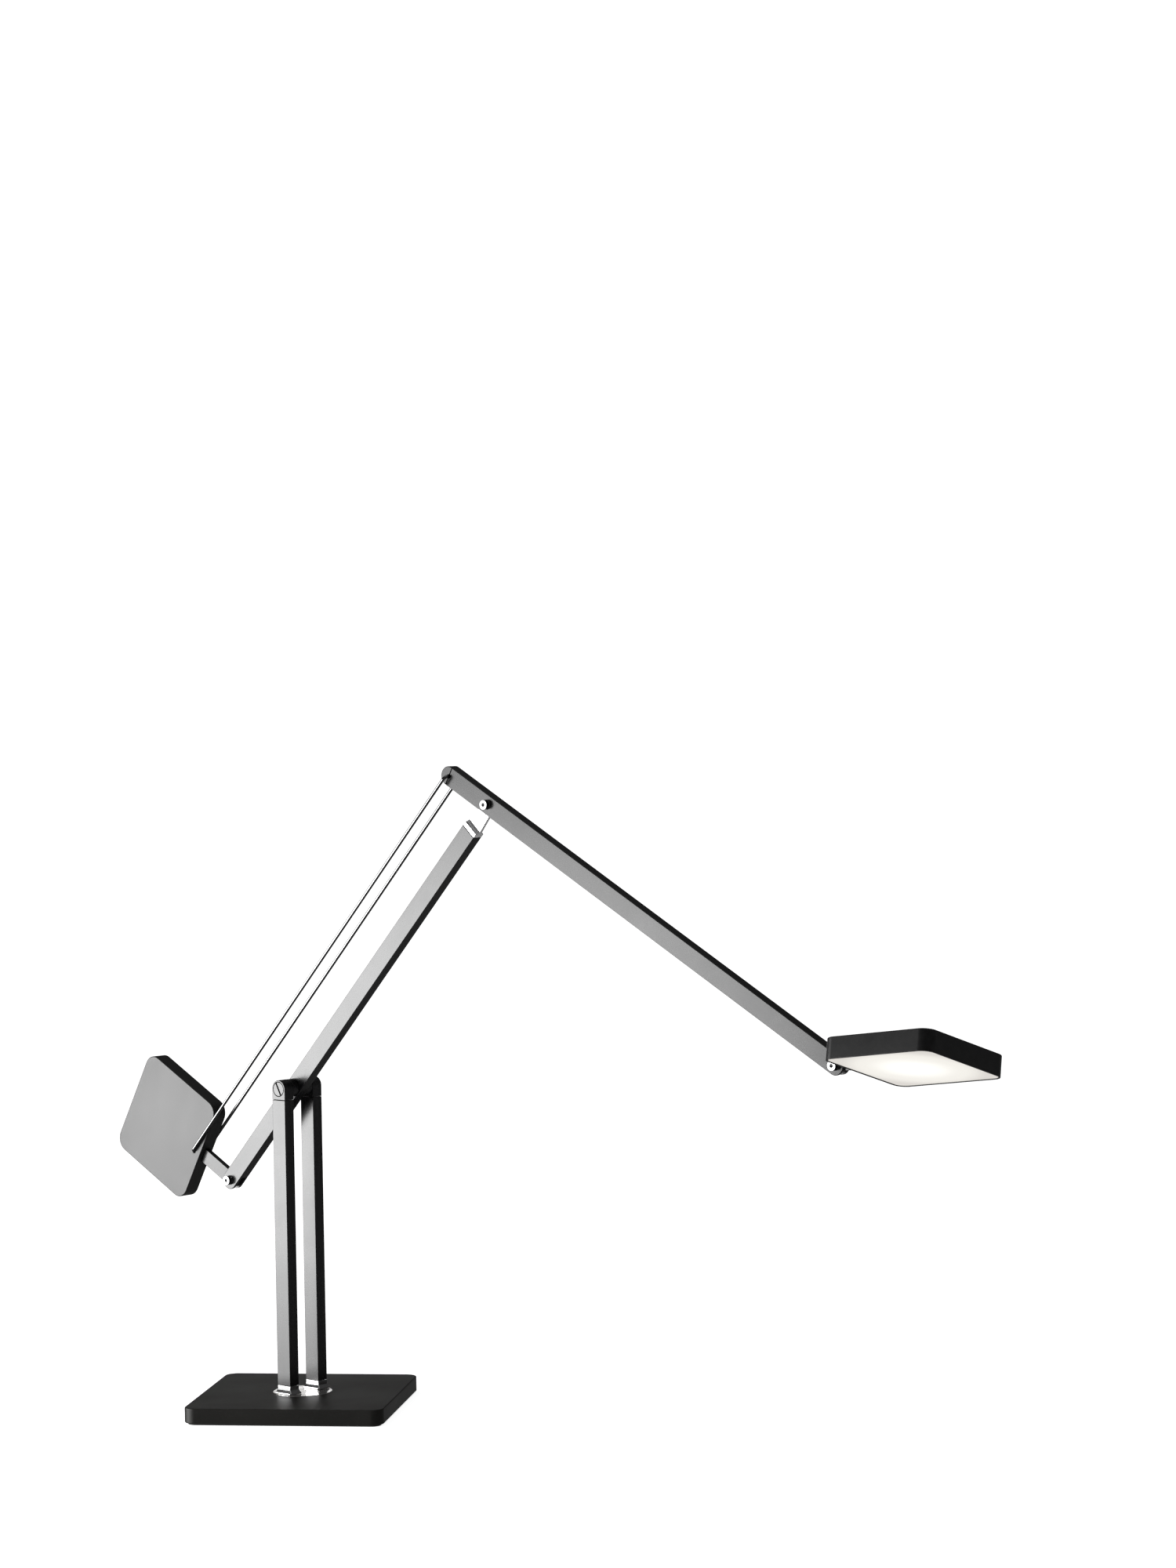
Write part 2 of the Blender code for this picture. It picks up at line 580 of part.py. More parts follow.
# ---- upper arm --------------------------------------------------------------------------------
SLOT_LOW = -23 * MM             # the slot under the elbow, in which the bracket's tongue swings
SLOT_HIGH = 9.5 * MM
SLOT_ROOM = 0.4 * MM            # room on each side of the tongue
UPPER_SOLID = 22 * MM           # the upper arm's head end is solid this far behind its pivot
UPPER_EAR_DEEP = 10 * MM
ROD_HOLE_R = ROD_R + 0.5 * MM
WASHER_R = 4.6 * MM
CAP_PLUG = 14 * MM
CAP_BACK = 0.6 * MM


def make_upper_arm(frame):
    half = ARM_WIDE / 2
    radius = ARM_HIGH / 2
    room_z = radius - ARM_WALL
    room_y = half - ARM_WALL
    slot = EAR_SLOT / 2
    seam = -ROD_OFFSET + GAP / 2
    arm = piece("upper_arm_tube", loft("upper_arm", across(
        round_right(seam, UPPER_REACH, radius), -half, half, ARM_EDGE)), "black_anodised", frame)
    tongue_slot = TONGUE / 2 + SLOT_ROOM
    cut(arm,
        box((seam - MM, -room_y, -room_z), (UPPER_REACH - UPPER_SOLID, room_y, room_z)),
        box((UPPER_REACH - UPPER_EAR_DEEP, -slot, -ARM_WIDE), (UPPER_REACH + ARM_WIDE, slot, ARM_WIDE)),
        box((SLOT_LOW, -tongue_slot, -radius - MM), (SLOT_HIGH, tongue_slot, 0)),
        rod_mesh(-half - MM, half + MM, PIN_R + GAP, "Y", (UPPER_REACH, 0, 0), 18),
        rod_mesh(-half - MM, half + MM, PIN_R + GAP, "Y", steps=18),
        rod_mesh(-half - MM, half + MM, ROD_HOLE_R, "Y", (-ROD_OFFSET, 0, 0), ROUND))
    make_pivot("elbow", frame, 0)
    make_pivot("head_pivot", frame, UPPER_REACH)

    washers = []
    for side in (-1, 1):
        low, high = sorted((side * (TONGUE / 2 + GAP), side * (room_y - GAP)))
        washers.append(ring_mesh(low, high, WASHER_R, PIN_R + GAP))
    numbered("elbow_washer", washers, "white_plastic", frame)

    cap_flat = -ROD_OFFSET - GAP / 2
    cap = piece("rear_end_cap", loft("rear_cap", across(
        round_left(cap_flat - CAP_BACK, cap_flat, radius), -half, half, ARM_EDGE)),
        "black_anodised", frame)
    join(cap, box((cap_flat - MM, -room_y + GAP, -room_z + GAP),
                  (-ROD_OFFSET + CAP_PLUG, room_y - GAP, room_z - GAP)))
    bore(cap, rod_mesh(-half - MM, half + MM, ROD_HOLE_R, "Y", (-ROD_OFFSET, 0, 0), ROUND))


def ring_mesh(low, high, outer, inner, steps=18):
    """A flat ring about Y, as one closed body."""
    build = bmesh.new()
    rows = []
    for y, radius in ((low, inner), (low, outer), (high, outer), (high, inner)):
        row = []
        for i in range(steps):
            angle = 2 * math.pi * i / steps
            row.append(build.verts.new((radius * math.cos(angle), y, radius * math.sin(angle))))
        rows.append(row)
    for number, low_row in enumerate(rows):
        high_row = rows[(number + 1) % len(rows)]
        for i in range(steps):
            j = (i + 1) % steps
            build.faces.new((low_row[i], low_row[j], high_row[j], high_row[i]))
    return finished(build, "ring")


# ---- tie rods ---------------------------------------------------------------------------------
BEND_R = 3.5 * MM
BEND_STEPS = 5
ROD_TOP_Y = 1.2 * MM            # how near the arm plane the rods' two ends come
ROD_LOW_Y = 4.4 * MM


def tie_rod(side):
    """A round rod parallel to the lower arm, whose two ends turn in towards the arm plane."""
    length = LOWER_BACK + LOWER_REACH
    outer = side * ROD_Y
    path = [((0, side * ROD_TOP_Y), (0, side))]
    for i in range(BEND_STEPS + 1):
        angle = math.radians(90 * i / BEND_STEPS)
        path.append(((-BEND_R * (1 - math.cos(angle)), outer - side * BEND_R * (1 - math.sin(angle))),
                     (-math.sin(angle), side * math.cos(angle))))
    for i in range(BEND_STEPS + 1):
        angle = math.radians(90 * i / BEND_STEPS)
        path.append(((-length + BEND_R * (1 - math.sin(angle)), outer - side * BEND_R * (1 - math.cos(angle))),
                     (-math.cos(angle), -side * math.sin(angle))))
    path.append(((-length, side * ROD_LOW_Y), (0, -side)))
    rings = []
    for (x, y), (dx, dy) in path:
        normal = Vector((-dy, dx, 0)).normalized()
        ring = []
        for i in range(ROUND_SMALL):
            angle = 2 * math.pi * i / ROUND_SMALL
            up = Vector((0, 0, ROD_R * math.sin(angle)))
            ring.append(Vector((x, y, 0)) + normal * ROD_R * math.cos(angle) + up)
        rings.append(ring)
    return loft("tie_rod", rings)


# ---- counterweight ----------------------------------------------------------------------------
WEIGHT_EDGE = 0.6 * MM
WEIGHT_SLOT = 24 * MM           # the stub is let into the plate's edge this deep
HOOK_HOLE_LOW = 3.7 * MM
HOOK_HOLE_R = ROD_R + 0.7 * MM
STUB_SCREW_BACK = 18 * MM
STUB_SCREW_Z = 3.6 * MM
STUB_SCREW_R = 1.5 * MM
STUB_SCREW_LOW = -1.2 * MM
STUB_HEAD_R = 2.8 * MM
STUB_HEAD_HIGH = 2 * MM
STUB_HEAD_SUNK = 0.2 * MM


def make_counterweight(frame):
    """The plate hangs from a flat stub, on the line that carries the upper arm's direction back."""
    half = WEIGHT_THICK / 2
    edge_x = -WEIGHT_MID + WEIGHT_SIDE / 2
    square = rounded(WEIGHT_SIDE, WEIGHT_SIDE, WEIGHT_CORNER, (-WEIGHT_MID, 0), ARC_STEPS)
    plate = piece("counterweight_plate", loft("plate", across(square, -half, half, WEIGHT_EDGE)),
                  "black_coated_steel", frame)
    room_y = STUB_THICK / 2 + GAP
    room_z = STUB_HIGH / 2 + GAP
    slot_low = edge_x - WEIGHT_SLOT
    head_low = half - STUB_HEAD_HIGH
    cuts = [box((slot_low, -room_y, -room_z), (edge_x + MM, room_y, room_z))]
    for side in (-1, 1):
        low, high = sorted((side * (half + MM), side * HOOK_HOLE_LOW))
        cuts.append(rod_mesh(low, high, HOOK_HOLE_R, "Y", (-ROD_OFFSET, 0, 0), ROUND))
    screws = []
    stub_holes = []
    for z in (-STUB_SCREW_Z, STUB_SCREW_Z):
        spot = (edge_x - STUB_SCREW_BACK, 0, z)
        hole_r = STUB_SCREW_R + GAP
        cuts.append(rod_mesh(0, half + MM, hole_r, "Y", spot, 16))
        cuts.append(rod_mesh(head_low - GAP, half + MM, STUB_HEAD_R + GAP, "Y", spot, 16))
        stub_holes.append(rod_mesh(STUB_SCREW_LOW - GAP, STUB_THICK, hole_r, "Y", spot, 16))
        screws.append(turned("stub_screw", [
            (STUB_SCREW_LOW, STUB_SCREW_R), (head_low, STUB_SCREW_R), (head_low, STUB_HEAD_R),
            (half - STUB_HEAD_SUNK, STUB_HEAD_R)], "Y", spot, 16))
    cut(plate, *cuts)
    stub = piece("counterweight_stub", loft("stub", across(
        round_right(slot_low + MM, 0, STUB_HIGH / 2), -STUB_THICK / 2, STUB_THICK / 2)),
        "black_anodised", frame)
    cut(stub, rod_mesh(-STUB_THICK, STUB_THICK, PIN_R + GAP, "Y", steps=18), *stub_holes)
    numbered("stub_screw", screws, "plain_steel", frame)


# ---- head -------------------------------------------------------------------------------------
NECK_TONGUE = 10 * MM           # height of the flat tongue that hinges in the arm's fork
HEAD_EDGE = HEAD_MID - HEAD_SIDE / 2
NECK_END = HEAD_EDGE + 15 * MM
MOUNT_BACK = -34 * MM           # the lighting stack starts here, behind it sits the swivel block
CHIP_ROWS = 5
CHIP_PITCH = 15 * MM
CHIP = 1.75 * MM                # half the side of a light-emitting chip
CHIP_HIGH = 0.7 * MM
TONGUE_BACK = 12.5 * MM         # the neck's flat tongue ends this far in front of its pivot
COLLAR_LOW = 11.5 * MM
COLLAR_HIGH = HEAD_EDGE - 0.6 * MM
COLLAR_R = 5.4 * MM
COLLAR_EDGE = 0.5 * MM
CLIP_R = 6.4 * MM
CLIP_HIGH = 1 * MM
CLIP_FROM_END = 3 * MM
CLIP_ROOM = 0.2 * MM
HEAD_EDGE_TOP = 0.6 * MM
HEAD_EDGE_RIM = 0.2 * MM
BOARD_SCREW_Y = 42 * MM
BOARD_SCREW_INSET = 6 * MM
BOARD_SCREW_R = 1.2 * MM
BOARD_HOLE_R = 1.55 * MM
BOARD_TAP = 1.4 * MM
BOARD_HEAD_R = 2.3 * MM
BOARD_HEAD_EDGE = 0.4 * MM
BOARD_HEAD_HIGH = 1.4 * MM
SWIVEL_HALF = 9 * MM
SWIVEL_LONG = 9.6 * MM
SWIVEL_LOW = -5.5 * MM
GLASS_IN = 0.5 * MM             # the diffuser lies this far inside the head's rim
GLASS_EDGE = 0.3 * MM
GLASS_THICK = 2 * MM
STACK_WIDE = 97 * MM
STACK_FRONT = 48.5 * MM
STACK_CORNER = 6 * MM
SPREADER_THICK = 1.8 * MM
BOARD_THICK = 1.5 * MM
BOX_WALL = 1.5 * MM
BOX_CORNER = 4.5 * MM
BOX_ROOM = 1.8 * MM             # room for the chips and screw heads between the light box and the board


def make_neck(frame):
    """The piece between the arm and the head: a flat tongue, then a round shaft the head turns on."""
    half = STUB_THICK / 2
    radius = NECK_TONGUE / 2
    neck = piece("head_neck", loft("neck", across(round_left(0, TONGUE_BACK, radius), -half, half)),
                 "black_anodised", frame)
    join(neck,
         turned("collar", [(COLLAR_LOW, COLLAR_R - COLLAR_EDGE), (COLLAR_LOW + COLLAR_EDGE, COLLAR_R),
                           (COLLAR_HIGH - COLLAR_EDGE, COLLAR_R), (COLLAR_HIGH, COLLAR_R - COLLAR_EDGE)],
                "X", steps=ROUND),
         turned("shaft", [(COLLAR_LOW + MM, NECK_R), (NECK_END, NECK_R)], "X", steps=ROUND))
    groove_low = NECK_END - CLIP_FROM_END - CLIP_ROOM
    groove_high = groove_low + CLIP_HIGH + 2 * CLIP_ROOM
    bore(neck, ring_x(groove_low, groove_high, NECK_R + MM, NECK_R - MM), "groove")
    bore(neck, rod_mesh(-radius, radius, PIN_R + GAP, "Y", steps=18), "eye")


def ring_x(low, high, outer, inner):
    ring = ring_mesh(low, high, outer, inner)
    ring.transform(Matrix.Rotation(math.radians(-90), 4, "Z"))
    return ring


def make_head(frame):
    """Built about the head's own middle: the light leaves through its -Z face."""
    side = HEAD_SIDE
    half = HEAD_THICK / 2
    outline = rounded(side, side, HEAD_CORNER, steps=ARC_STEPS)
    shell = piece("head_shell", loft("shell", upright(outline, [
        (-half, HEAD_EDGE_RIM), (-half + HEAD_EDGE_RIM, 0), (half - HEAD_EDGE_TOP, 0), (half, HEAD_EDGE_TOP)])),
        "black_anodised", frame)
    room_side = side - 2 * HEAD_WALL
    inner = rounded(room_side, room_side, HEAD_CORNER - HEAD_WALL, steps=ARC_STEPS)
    roof = half - HEAD_ROOF
    board_spots = [(x, y) for x in (MOUNT_BACK + BOARD_SCREW_INSET, STACK_FRONT - BOARD_SCREW_INSET)
                   for y in (-BOARD_SCREW_Y, BOARD_SCREW_Y)]
    cuts = [loft("room", upright(inner, [(-half - MM, 0), (roof, 0)])),
            rod_mesh(-side / 2 - MM, -side / 2 + HEAD_WALL + MM, NECK_R + GAP, "X", steps=ROUND)]
    for x, y in board_spots:
        cuts.append(rod_mesh(roof - MM, roof + BOARD_TAP, BOARD_HOLE_R, "Z", (x, y, 0), 12))
    cut(shell, *cuts)

    block_low = -side / 2 + HEAD_WALL + GAP
    block_high = block_low + SWIVEL_LONG
    block_corners = (block_low, -SWIVEL_HALF, SWIVEL_LOW), (block_high, SWIVEL_HALF, roof - GAP)
    block = piece("swivel_block", box(*block_corners), "plain_steel", frame)
    cut(block, rod_mesh(block_low - MM, block_high + MM, NECK_R + GAP, "X", steps=ROUND))
    clip_low = NECK_END - HEAD_MID - CLIP_FROM_END
    piece("neck_clip", ring_x(clip_low, clip_low + CLIP_HIGH, CLIP_R, NECK_R - MM + GAP), "plain_steel", frame)

    glass_side = room_side - 2 * GAP
    glass_low = -half + GLASS_IN
    glass_high = glass_low + GLASS_THICK
    glass = rounded(glass_side, glass_side, HEAD_CORNER - HEAD_WALL - GAP, steps=ARC_STEPS)
    piece("diffuser", loft("diffuser", upright(glass, [
        (glass_low, GLASS_EDGE), (glass_low + GLASS_EDGE, 0), (glass_high, 0)])), "opal_diffuser", frame)

    stack_long = STACK_FRONT - MOUNT_BACK
    mid_x = (MOUNT_BACK + STACK_FRONT) / 2
    stack = rounded(stack_long, STACK_WIDE, STACK_CORNER, (mid_x, 0), 4)
    spreader_low = roof - GAP - SPREADER_THICK
    board_low = spreader_low - GAP - BOARD_THICK
    spreader = piece("heat_spreader", loft("spreader", upright(stack, [(spreader_low, 0), (roof - GAP, 0)])),
                     "aluminium", frame)
    board = piece("led_board", loft("board", upright(stack, [(board_low, 0), (spreader_low - GAP, 0)])),
                  "circuit_board", frame)
    screws = []
    for x, y in board_spots:
        for target in (spreader, board):
            hole = rod_mesh(board_low - MM, roof + MM, BOARD_HOLE_R, "Z", (x, y, 0), 12)
            bore(target, hole, f"hole{x:.3f}_{y:.3f}")
        screws.append(turned("board_screw", [
            (board_low - BOARD_HEAD_HIGH, BOARD_HEAD_R - BOARD_HEAD_EDGE),
            (board_low - BOARD_HEAD_HIGH + BOARD_HEAD_EDGE, BOARD_HEAD_R), (board_low - GAP, BOARD_HEAD_R),
            (board_low - GAP, BOARD_SCREW_R), (roof + MM, BOARD_SCREW_R)], "Z", (x, y, 0), 12))
    numbered("board_screw", screws, "plain_steel", frame)

    chips = []
    for i in range(CHIP_ROWS):
        for j in range(CHIP_ROWS):
            x = mid_x + (i - (CHIP_ROWS - 1) / 2) * CHIP_PITCH
            y = (j - (CHIP_ROWS - 1) / 2) * CHIP_PITCH
            chips.append(box((x - CHIP, y - CHIP, board_low - CHIP_HIGH), (x + CHIP, y + CHIP, board_low + MM)))
    join(board, merged("led_chips", *chips))

    frame_low = glass_high + GAP
    frame_high = board_low - BOX_ROOM
    inner_box = rounded(stack_long - 2 * BOX_WALL, STACK_WIDE - 2 * BOX_WALL, BOX_CORNER, (mid_x, 0), 4)
    ring = piece("light_box", loft("light_box", upright(stack, [(frame_low, 0), (frame_high, 0)])),
                 "white_plastic", frame)
    cut(ring, loft("light_room", upright(inner_box, [(frame_low - MM, 0), (frame_high + MM, 0)])))


# ---- the lamp ---------------------------------------------------------------------------------
def direction(angle):
    return Vector((math.cos(angle), 0, math.sin(angle)))


def make_lamp():
    clear_scene()
    base = frame_empty("base", (0, 0, 0), turn=Matrix.Rotation(BASE_TURN, 4, "Z"))
    make_base(base)
    turntable = frame_empty("turntable", (0, 0, 0), parent=base, turn=Matrix.Identity(4))
    make_turntable(turntable)
    axle_spot = Vector((0, 0, AXLE_Z))
    hub = frame_empty("post_hub", axle_spot, parent=turntable)
    make_axle(hub)

    lower = frame_empty("lower_arm", axle_spot, LOWER_ANGLE, turntable)
    make_lower_arm(lower)
    along_lower = direction(LOWER_ANGLE)
    along_upper = direction(UPPER_ANGLE)
    elbow_spot = axle_spot + along_lower * LOWER_REACH
    upper = frame_empty("upper_arm", elbow_spot, UPPER_ANGLE, lower)
    make_upper_arm(upper)

    weight_spot = axle_spot - along_lower * LOWER_BACK
    weight = frame_empty("counterweight", weight_spot, UPPER_ANGLE, lower)
    make_counterweight(weight)

    rod_spot = elbow_spot - along_upper * ROD_OFFSET
    rods = frame_empty("tie_rods", rod_spot, LOWER_ANGLE, upper)
    for side, word in ((-1, "near"), (1, "far")):
        piece(f"{word}_tie_rod", tie_rod(side), "polished_steel", rods)

    head_spot = elbow_spot + along_upper * UPPER_REACH
    neck = frame_empty("head_tilt", head_spot, HEAD_TILT, upper)
    make_neck(neck)
    head_middle = head_spot + direction(HEAD_TILT) * HEAD_MID
    head_turn = Matrix.Rotation(-HEAD_TILT, 4, "Y") @ Matrix.Rotation(-HEAD_ROLL, 4, "X")
    head = frame_empty("head", head_middle, parent=neck, turn=head_turn)
    make_head(head)


make_lamp()
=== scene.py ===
# %% [markdown]
# # A counterbalanced desk lamp
# A square steel foot carries a turntable with two posts.  Between the posts hangs a long lower arm: a heavy
# plate balances it at its short end, and a second arm with a flat square lamp head hinges on its long end.
# Two thin rods keep the plate parallel with the upper arm.  The CAD model gives every hinge and size, so each
# visible piece below is drawn finer in the same place, gets its finish, and rides on its own body.
# %% Load the CAD model
import json
import math

import bmesh
import bpy
from mathutils import Matrix, Vector


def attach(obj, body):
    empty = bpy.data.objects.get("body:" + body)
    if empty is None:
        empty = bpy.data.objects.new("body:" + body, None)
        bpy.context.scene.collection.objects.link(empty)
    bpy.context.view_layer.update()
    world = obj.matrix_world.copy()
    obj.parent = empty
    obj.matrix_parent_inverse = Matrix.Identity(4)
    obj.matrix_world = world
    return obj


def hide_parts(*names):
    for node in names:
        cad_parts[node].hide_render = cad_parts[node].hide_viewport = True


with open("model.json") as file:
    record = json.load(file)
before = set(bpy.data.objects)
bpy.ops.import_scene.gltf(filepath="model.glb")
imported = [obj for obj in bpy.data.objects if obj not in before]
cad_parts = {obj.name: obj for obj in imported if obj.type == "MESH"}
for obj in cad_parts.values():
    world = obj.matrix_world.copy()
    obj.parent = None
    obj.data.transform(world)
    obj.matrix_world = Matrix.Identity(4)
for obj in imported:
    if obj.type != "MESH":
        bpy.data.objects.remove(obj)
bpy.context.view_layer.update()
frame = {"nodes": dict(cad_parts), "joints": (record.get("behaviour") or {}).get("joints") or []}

MM = 0.001
cad_nodes = frame["nodes"]

# %% [markdown]
# The lamp is a chain of hinges.  Their places come from the CAD model, which keeps the fine pieces exactly
# where its own ones are.
# %% Hinges
hinge = {joint["name"]: Vector(joint["pos_m"]) for joint in frame["joints"]}
axle, elbow = hinge["lower_arm_hinge"], hinge["elbow_hinge"]
weight_hinge, rod_hinge = hinge["counterweight_hinge"], hinge["tie_rod_hinge"]
head_hinge, head_middle = hinge["head_tilt"], hinge["head_roll"]
reach = (head_hinge - elbow).length
rise = (elbow - axle).length
neck_long = (head_middle - head_hinge).length
print(f"lower arm {rise / MM:.0f} mm to the elbow, upper arm {reach / MM:.0f} mm to the head")

# %% [markdown]
# Every arm, rod and plate is straight, so it is easiest to draw in its own local frame: origin on a hinge, X
# along the piece, Y across the lamp.  Such a frame is a matrix that holds the three directions and the origin.
# %% Local frames
def looking(origin, towards):
    """A frame at origin with X towards a spot in the arm plane and Y across the lamp."""
    along = (towards - origin).normalized()
    across = Vector((0, 1, 0))
    turn = Matrix((along, across, along.cross(across))).transposed().to_4x4()
    return Matrix.Translation(origin) @ turn


HEAD_ROLL = math.radians(-17.4)         # the head is turned this far on its neck
BASE_TURN = math.radians(33)            # the foot is turned this far under the arms
base_place = Matrix.Rotation(BASE_TURN, 4, "Z")
post_place = Matrix.Identity(4)
hub_place = Matrix.Translation(axle)
lower_place = looking(axle, elbow)
upper_place = looking(elbow, head_hinge)
weight_place = Matrix.Translation(weight_hinge) @ upper_place.to_3x3().to_4x4()
rod_place = Matrix.Translation(rod_hinge) @ lower_place.to_3x3().to_4x4()
neck_place = looking(head_hinge, head_middle)
head_place = neck_place @ Matrix.Translation((neck_long, 0, 0)) @ Matrix.Rotation(HEAD_ROLL, 4, "X")
print("the upper arm slopes by", round(math.degrees(math.asin(upper_place[2][0]))), "degrees")

# %% [markdown]
# Sizes come from the CAD model too.  In its local frame a straight piece fills a plain box, so two corners
# say where its faces lie.
# %% Size of a CAD node
def span(node, place):
    """Lowest and highest corner of a CAD node, in a local frame."""
    into = place.inverted()
    spots = [into @ corner.co for corner in cad_nodes[node].data.vertices]
    low = Vector([min(spot[i] for spot in spots) for i in range(3)])
    high = Vector([max(spot[i] for spot in spots) for i in range(3)])
    return low, high


print("foot plate from", *span("base_plate", base_place))

# %% [markdown]
# ## The studio
# The camera stands three and a half metres off with a long lens, a little above the lamp, and looks almost
# level, so upright lines stay nearly parallel.
# %% Camera
CAMERA_SPOT = Vector((2.4852, -2.4703, 0.6447))
YAW, PITCH, ROLL = math.radians(40.839), math.radians(1.482), math.radians(-0.982)
LENS, SENSOR = 89.98, 36
camera_data = bpy.data.cameras.new("camera")
camera_data.lens = LENS
camera_data.sensor_width = SENSOR
camera = bpy.data.objects.new("camera", camera_data)
camera.matrix_world = (Matrix.Translation(CAMERA_SPOT) @ Matrix.Rotation(YAW, 4, "Z")
                       @ Matrix.Rotation(math.radians(90) - PITCH, 4, "X") @ Matrix.Rotation(ROLL, 4, "Z"))
bpy.context.scene.collection.objects.link(camera)
bpy.context.scene.camera = camera
bpy.context.scene.view_settings.view_transform = "Standard"
print("camera", tuple(round(v, 3) for v in CAMERA_SPOT))

# %% [markdown]
# The room, the finishes and the growing shapes further down are all trees of nodes.  Three helpers keep them
# short: one adds a node with its settings, one maps a value from one range to another, one does arithmetic.
# %% Node helpers
def add(tree, kind, **settings):
    """A node of that kind in the tree, with its settings."""
    made = tree.nodes.new(kind)
    for name, value in settings.items():
        setattr(made, name, value)
    return made


def scaled(tree, source, low, high, low_to, high_to, curve="LINEAR"):
    """The source mapped from one range to another."""
    made = add(tree, "ShaderNodeMapRange", interpolation_type=curve)
    for label, value in (("From Min", low), ("From Max", high), ("To Min", low_to), ("To Max", high_to)):
        made.inputs[label].default_value = value
    tree.links.new(source, made.inputs["Value"])
    return made.outputs[0]


def arithmetic(tree, operation, first, second):
    """A math node; each side is a socket or a number."""
    made = add(tree, "ShaderNodeMath", operation=operation)
    for index, side in enumerate((first, second)):
        if isinstance(side, (int, float)):
            made.inputs[index].default_value = side
        else:
            tree.links.new(side, made.inputs[index])
    return made.outputs[0]


print("node helpers ready")

# %% [markdown]
# Black satin metal shows its shape only by what it mirrors.  A long soft box stands low at the lamp's side,
# where the broad faces of posts and arms mirror it as light grey; a second one inside it makes its middle
# brighter.  One box hangs overhead for the floor, and a small card behind lights the foot.  The camera itself
# sees none of them.
# %% Lights
def soft_box(name, spot, target, width, height, radiance):
    """An area light whose surface has the given radiance, facing a spot."""
    data = bpy.data.lights.new(name, "AREA")
    data.shape = "RECTANGLE"
    data.size, data.size_y = width, height
    data.energy = radiance * math.pi * width * height
    light = bpy.data.objects.new(name, data)
    facing = (Vector(target) - Vector(spot)).to_track_quat("-Z", "Y")
    light.matrix_world = Matrix.Translation(spot) @ facing.to_matrix().to_4x4()
    light.visible_camera = False
    bpy.context.scene.collection.objects.link(light)


side_middle = Vector((-0.70, -0.957, 0.19))
inwards = Vector((0.69, 0.72, 0))
side_aim = side_middle + inwards
soft_box("side_box", side_middle, side_aim, width=1.0, height=0.90, radiance=7.3)
soft_box("side_box_core", side_middle + 0.02 * inwards, side_aim, width=1.0, height=0.50, radiance=7.0)
soft_box("top_box", (0.2, 0.2, 2.4), (0.2, 0.2, 0), width=3.4, height=3.0, radiance=0.32)
soft_box("back_card", (-1.45, 1.45, 0.38), (0, 0, 0.02), width=0.5, height=0.17, radiance=1.5)
print("lights:", [light.name for light in bpy.data.lights])

# %% [markdown]
# Around the lights lies a dim room, a little brighter below the horizon, with a soft glow at the back that the
# foot's edge mirrors at a low angle.  Only rays straight from the camera see the white backdrop instead.
# %% Room
BACKDROP = 1.15
BELOW, ABOVE, HORIZON = 0.11, 0.06, 0.15
GLOW, GLOW_TOWARDS = 0.16, (-0.36, 0.92, -0.17)
world = bpy.data.worlds.new("studio")
world.use_nodes = True
bpy.context.scene.world = world
sky = world.node_tree
sky.nodes.clear()
heading = add(sky, "ShaderNodeTexCoord")
upwards = add(sky, "ShaderNodeSeparateXYZ")
sky.links.new(heading.outputs["Generated"], upwards.inputs[0])
dusk = scaled(sky, upwards.outputs["Z"], -HORIZON, HORIZON, BELOW, ABOVE, "SMOOTHSTEP")
near_glow = add(sky, "ShaderNodeVectorMath", operation="DOT_PRODUCT")
near_glow.inputs[1].default_value = GLOW_TOWARDS
sky.links.new(heading.outputs["Generated"], near_glow.inputs[0])
glow = scaled(sky, near_glow.outputs["Value"], 0.87, 0.99, 0, GLOW, "SMOOTHSTEP")
room = add(sky, "ShaderNodeBackground")
backdrop = add(sky, "ShaderNodeBackground")
for light_from in (room, backdrop):
    light_from.inputs["Color"].default_value = (1, 1, 1, 1)
backdrop.inputs["Strength"].default_value = BACKDROP
sky.links.new(arithmetic(sky, "ADD", dusk, glow), room.inputs["Strength"])
ray = add(sky, "ShaderNodeLightPath")
choice = add(sky, "ShaderNodeMixShader")
out = add(sky, "ShaderNodeOutputWorld")
sky.links.new(ray.outputs["Is Camera Ray"], choice.inputs[0])
sky.links.new(room.outputs[0], choice.inputs[1])
sky.links.new(backdrop.outputs[0], choice.inputs[2])
sky.links.new(choice.outputs[0], out.inputs[0])
print("room with", len(sky.nodes), "nodes")

# %% [markdown]
# The floor is a wide sheet of pale paper that glows a little, as a lit-through studio sweep does, so it
# joins the background without a line.  Mirror rays pass it: black metal above a white floor would
# otherwise turn grey.
# %% Floor
FLOOR_HALF = 14
FLOOR_SHADE = 0.86
GLOW_NEAR, GLOW_FAR = 0.88, 1.1         # how much the paper glows close to the lamp and further off
corners = [(-FLOOR_HALF, -FLOOR_HALF, 0), (FLOOR_HALF, -FLOOR_HALF, 0),
           (FLOOR_HALF, FLOOR_HALF, 0), (-FLOOR_HALF, FLOOR_HALF, 0)]
floor_mesh = bpy.data.meshes.new("floor")
floor_mesh.from_pydata(corners, [], [(0, 1, 2, 3)])
floor = bpy.data.objects.new("floor", floor_mesh)
bpy.context.scene.collection.objects.link(floor)
paper = bpy.data.materials.new("sweep_paper")
paper.use_nodes = True
sheet = paper.node_tree
shader = sheet.nodes["Principled BSDF"]
shader.inputs["Base Color"].default_value = (FLOOR_SHADE, FLOOR_SHADE, FLOOR_SHADE, 1)
shader.inputs["Roughness"].default_value = 0.9
shader.inputs["Specular IOR Level"].default_value = 0.0
shader.inputs["Emission Strength"].default_value = 1.0
floor_spot = add(sheet, "ShaderNodeTexCoord")
away = add(sheet, "ShaderNodeVectorMath", operation="LENGTH")
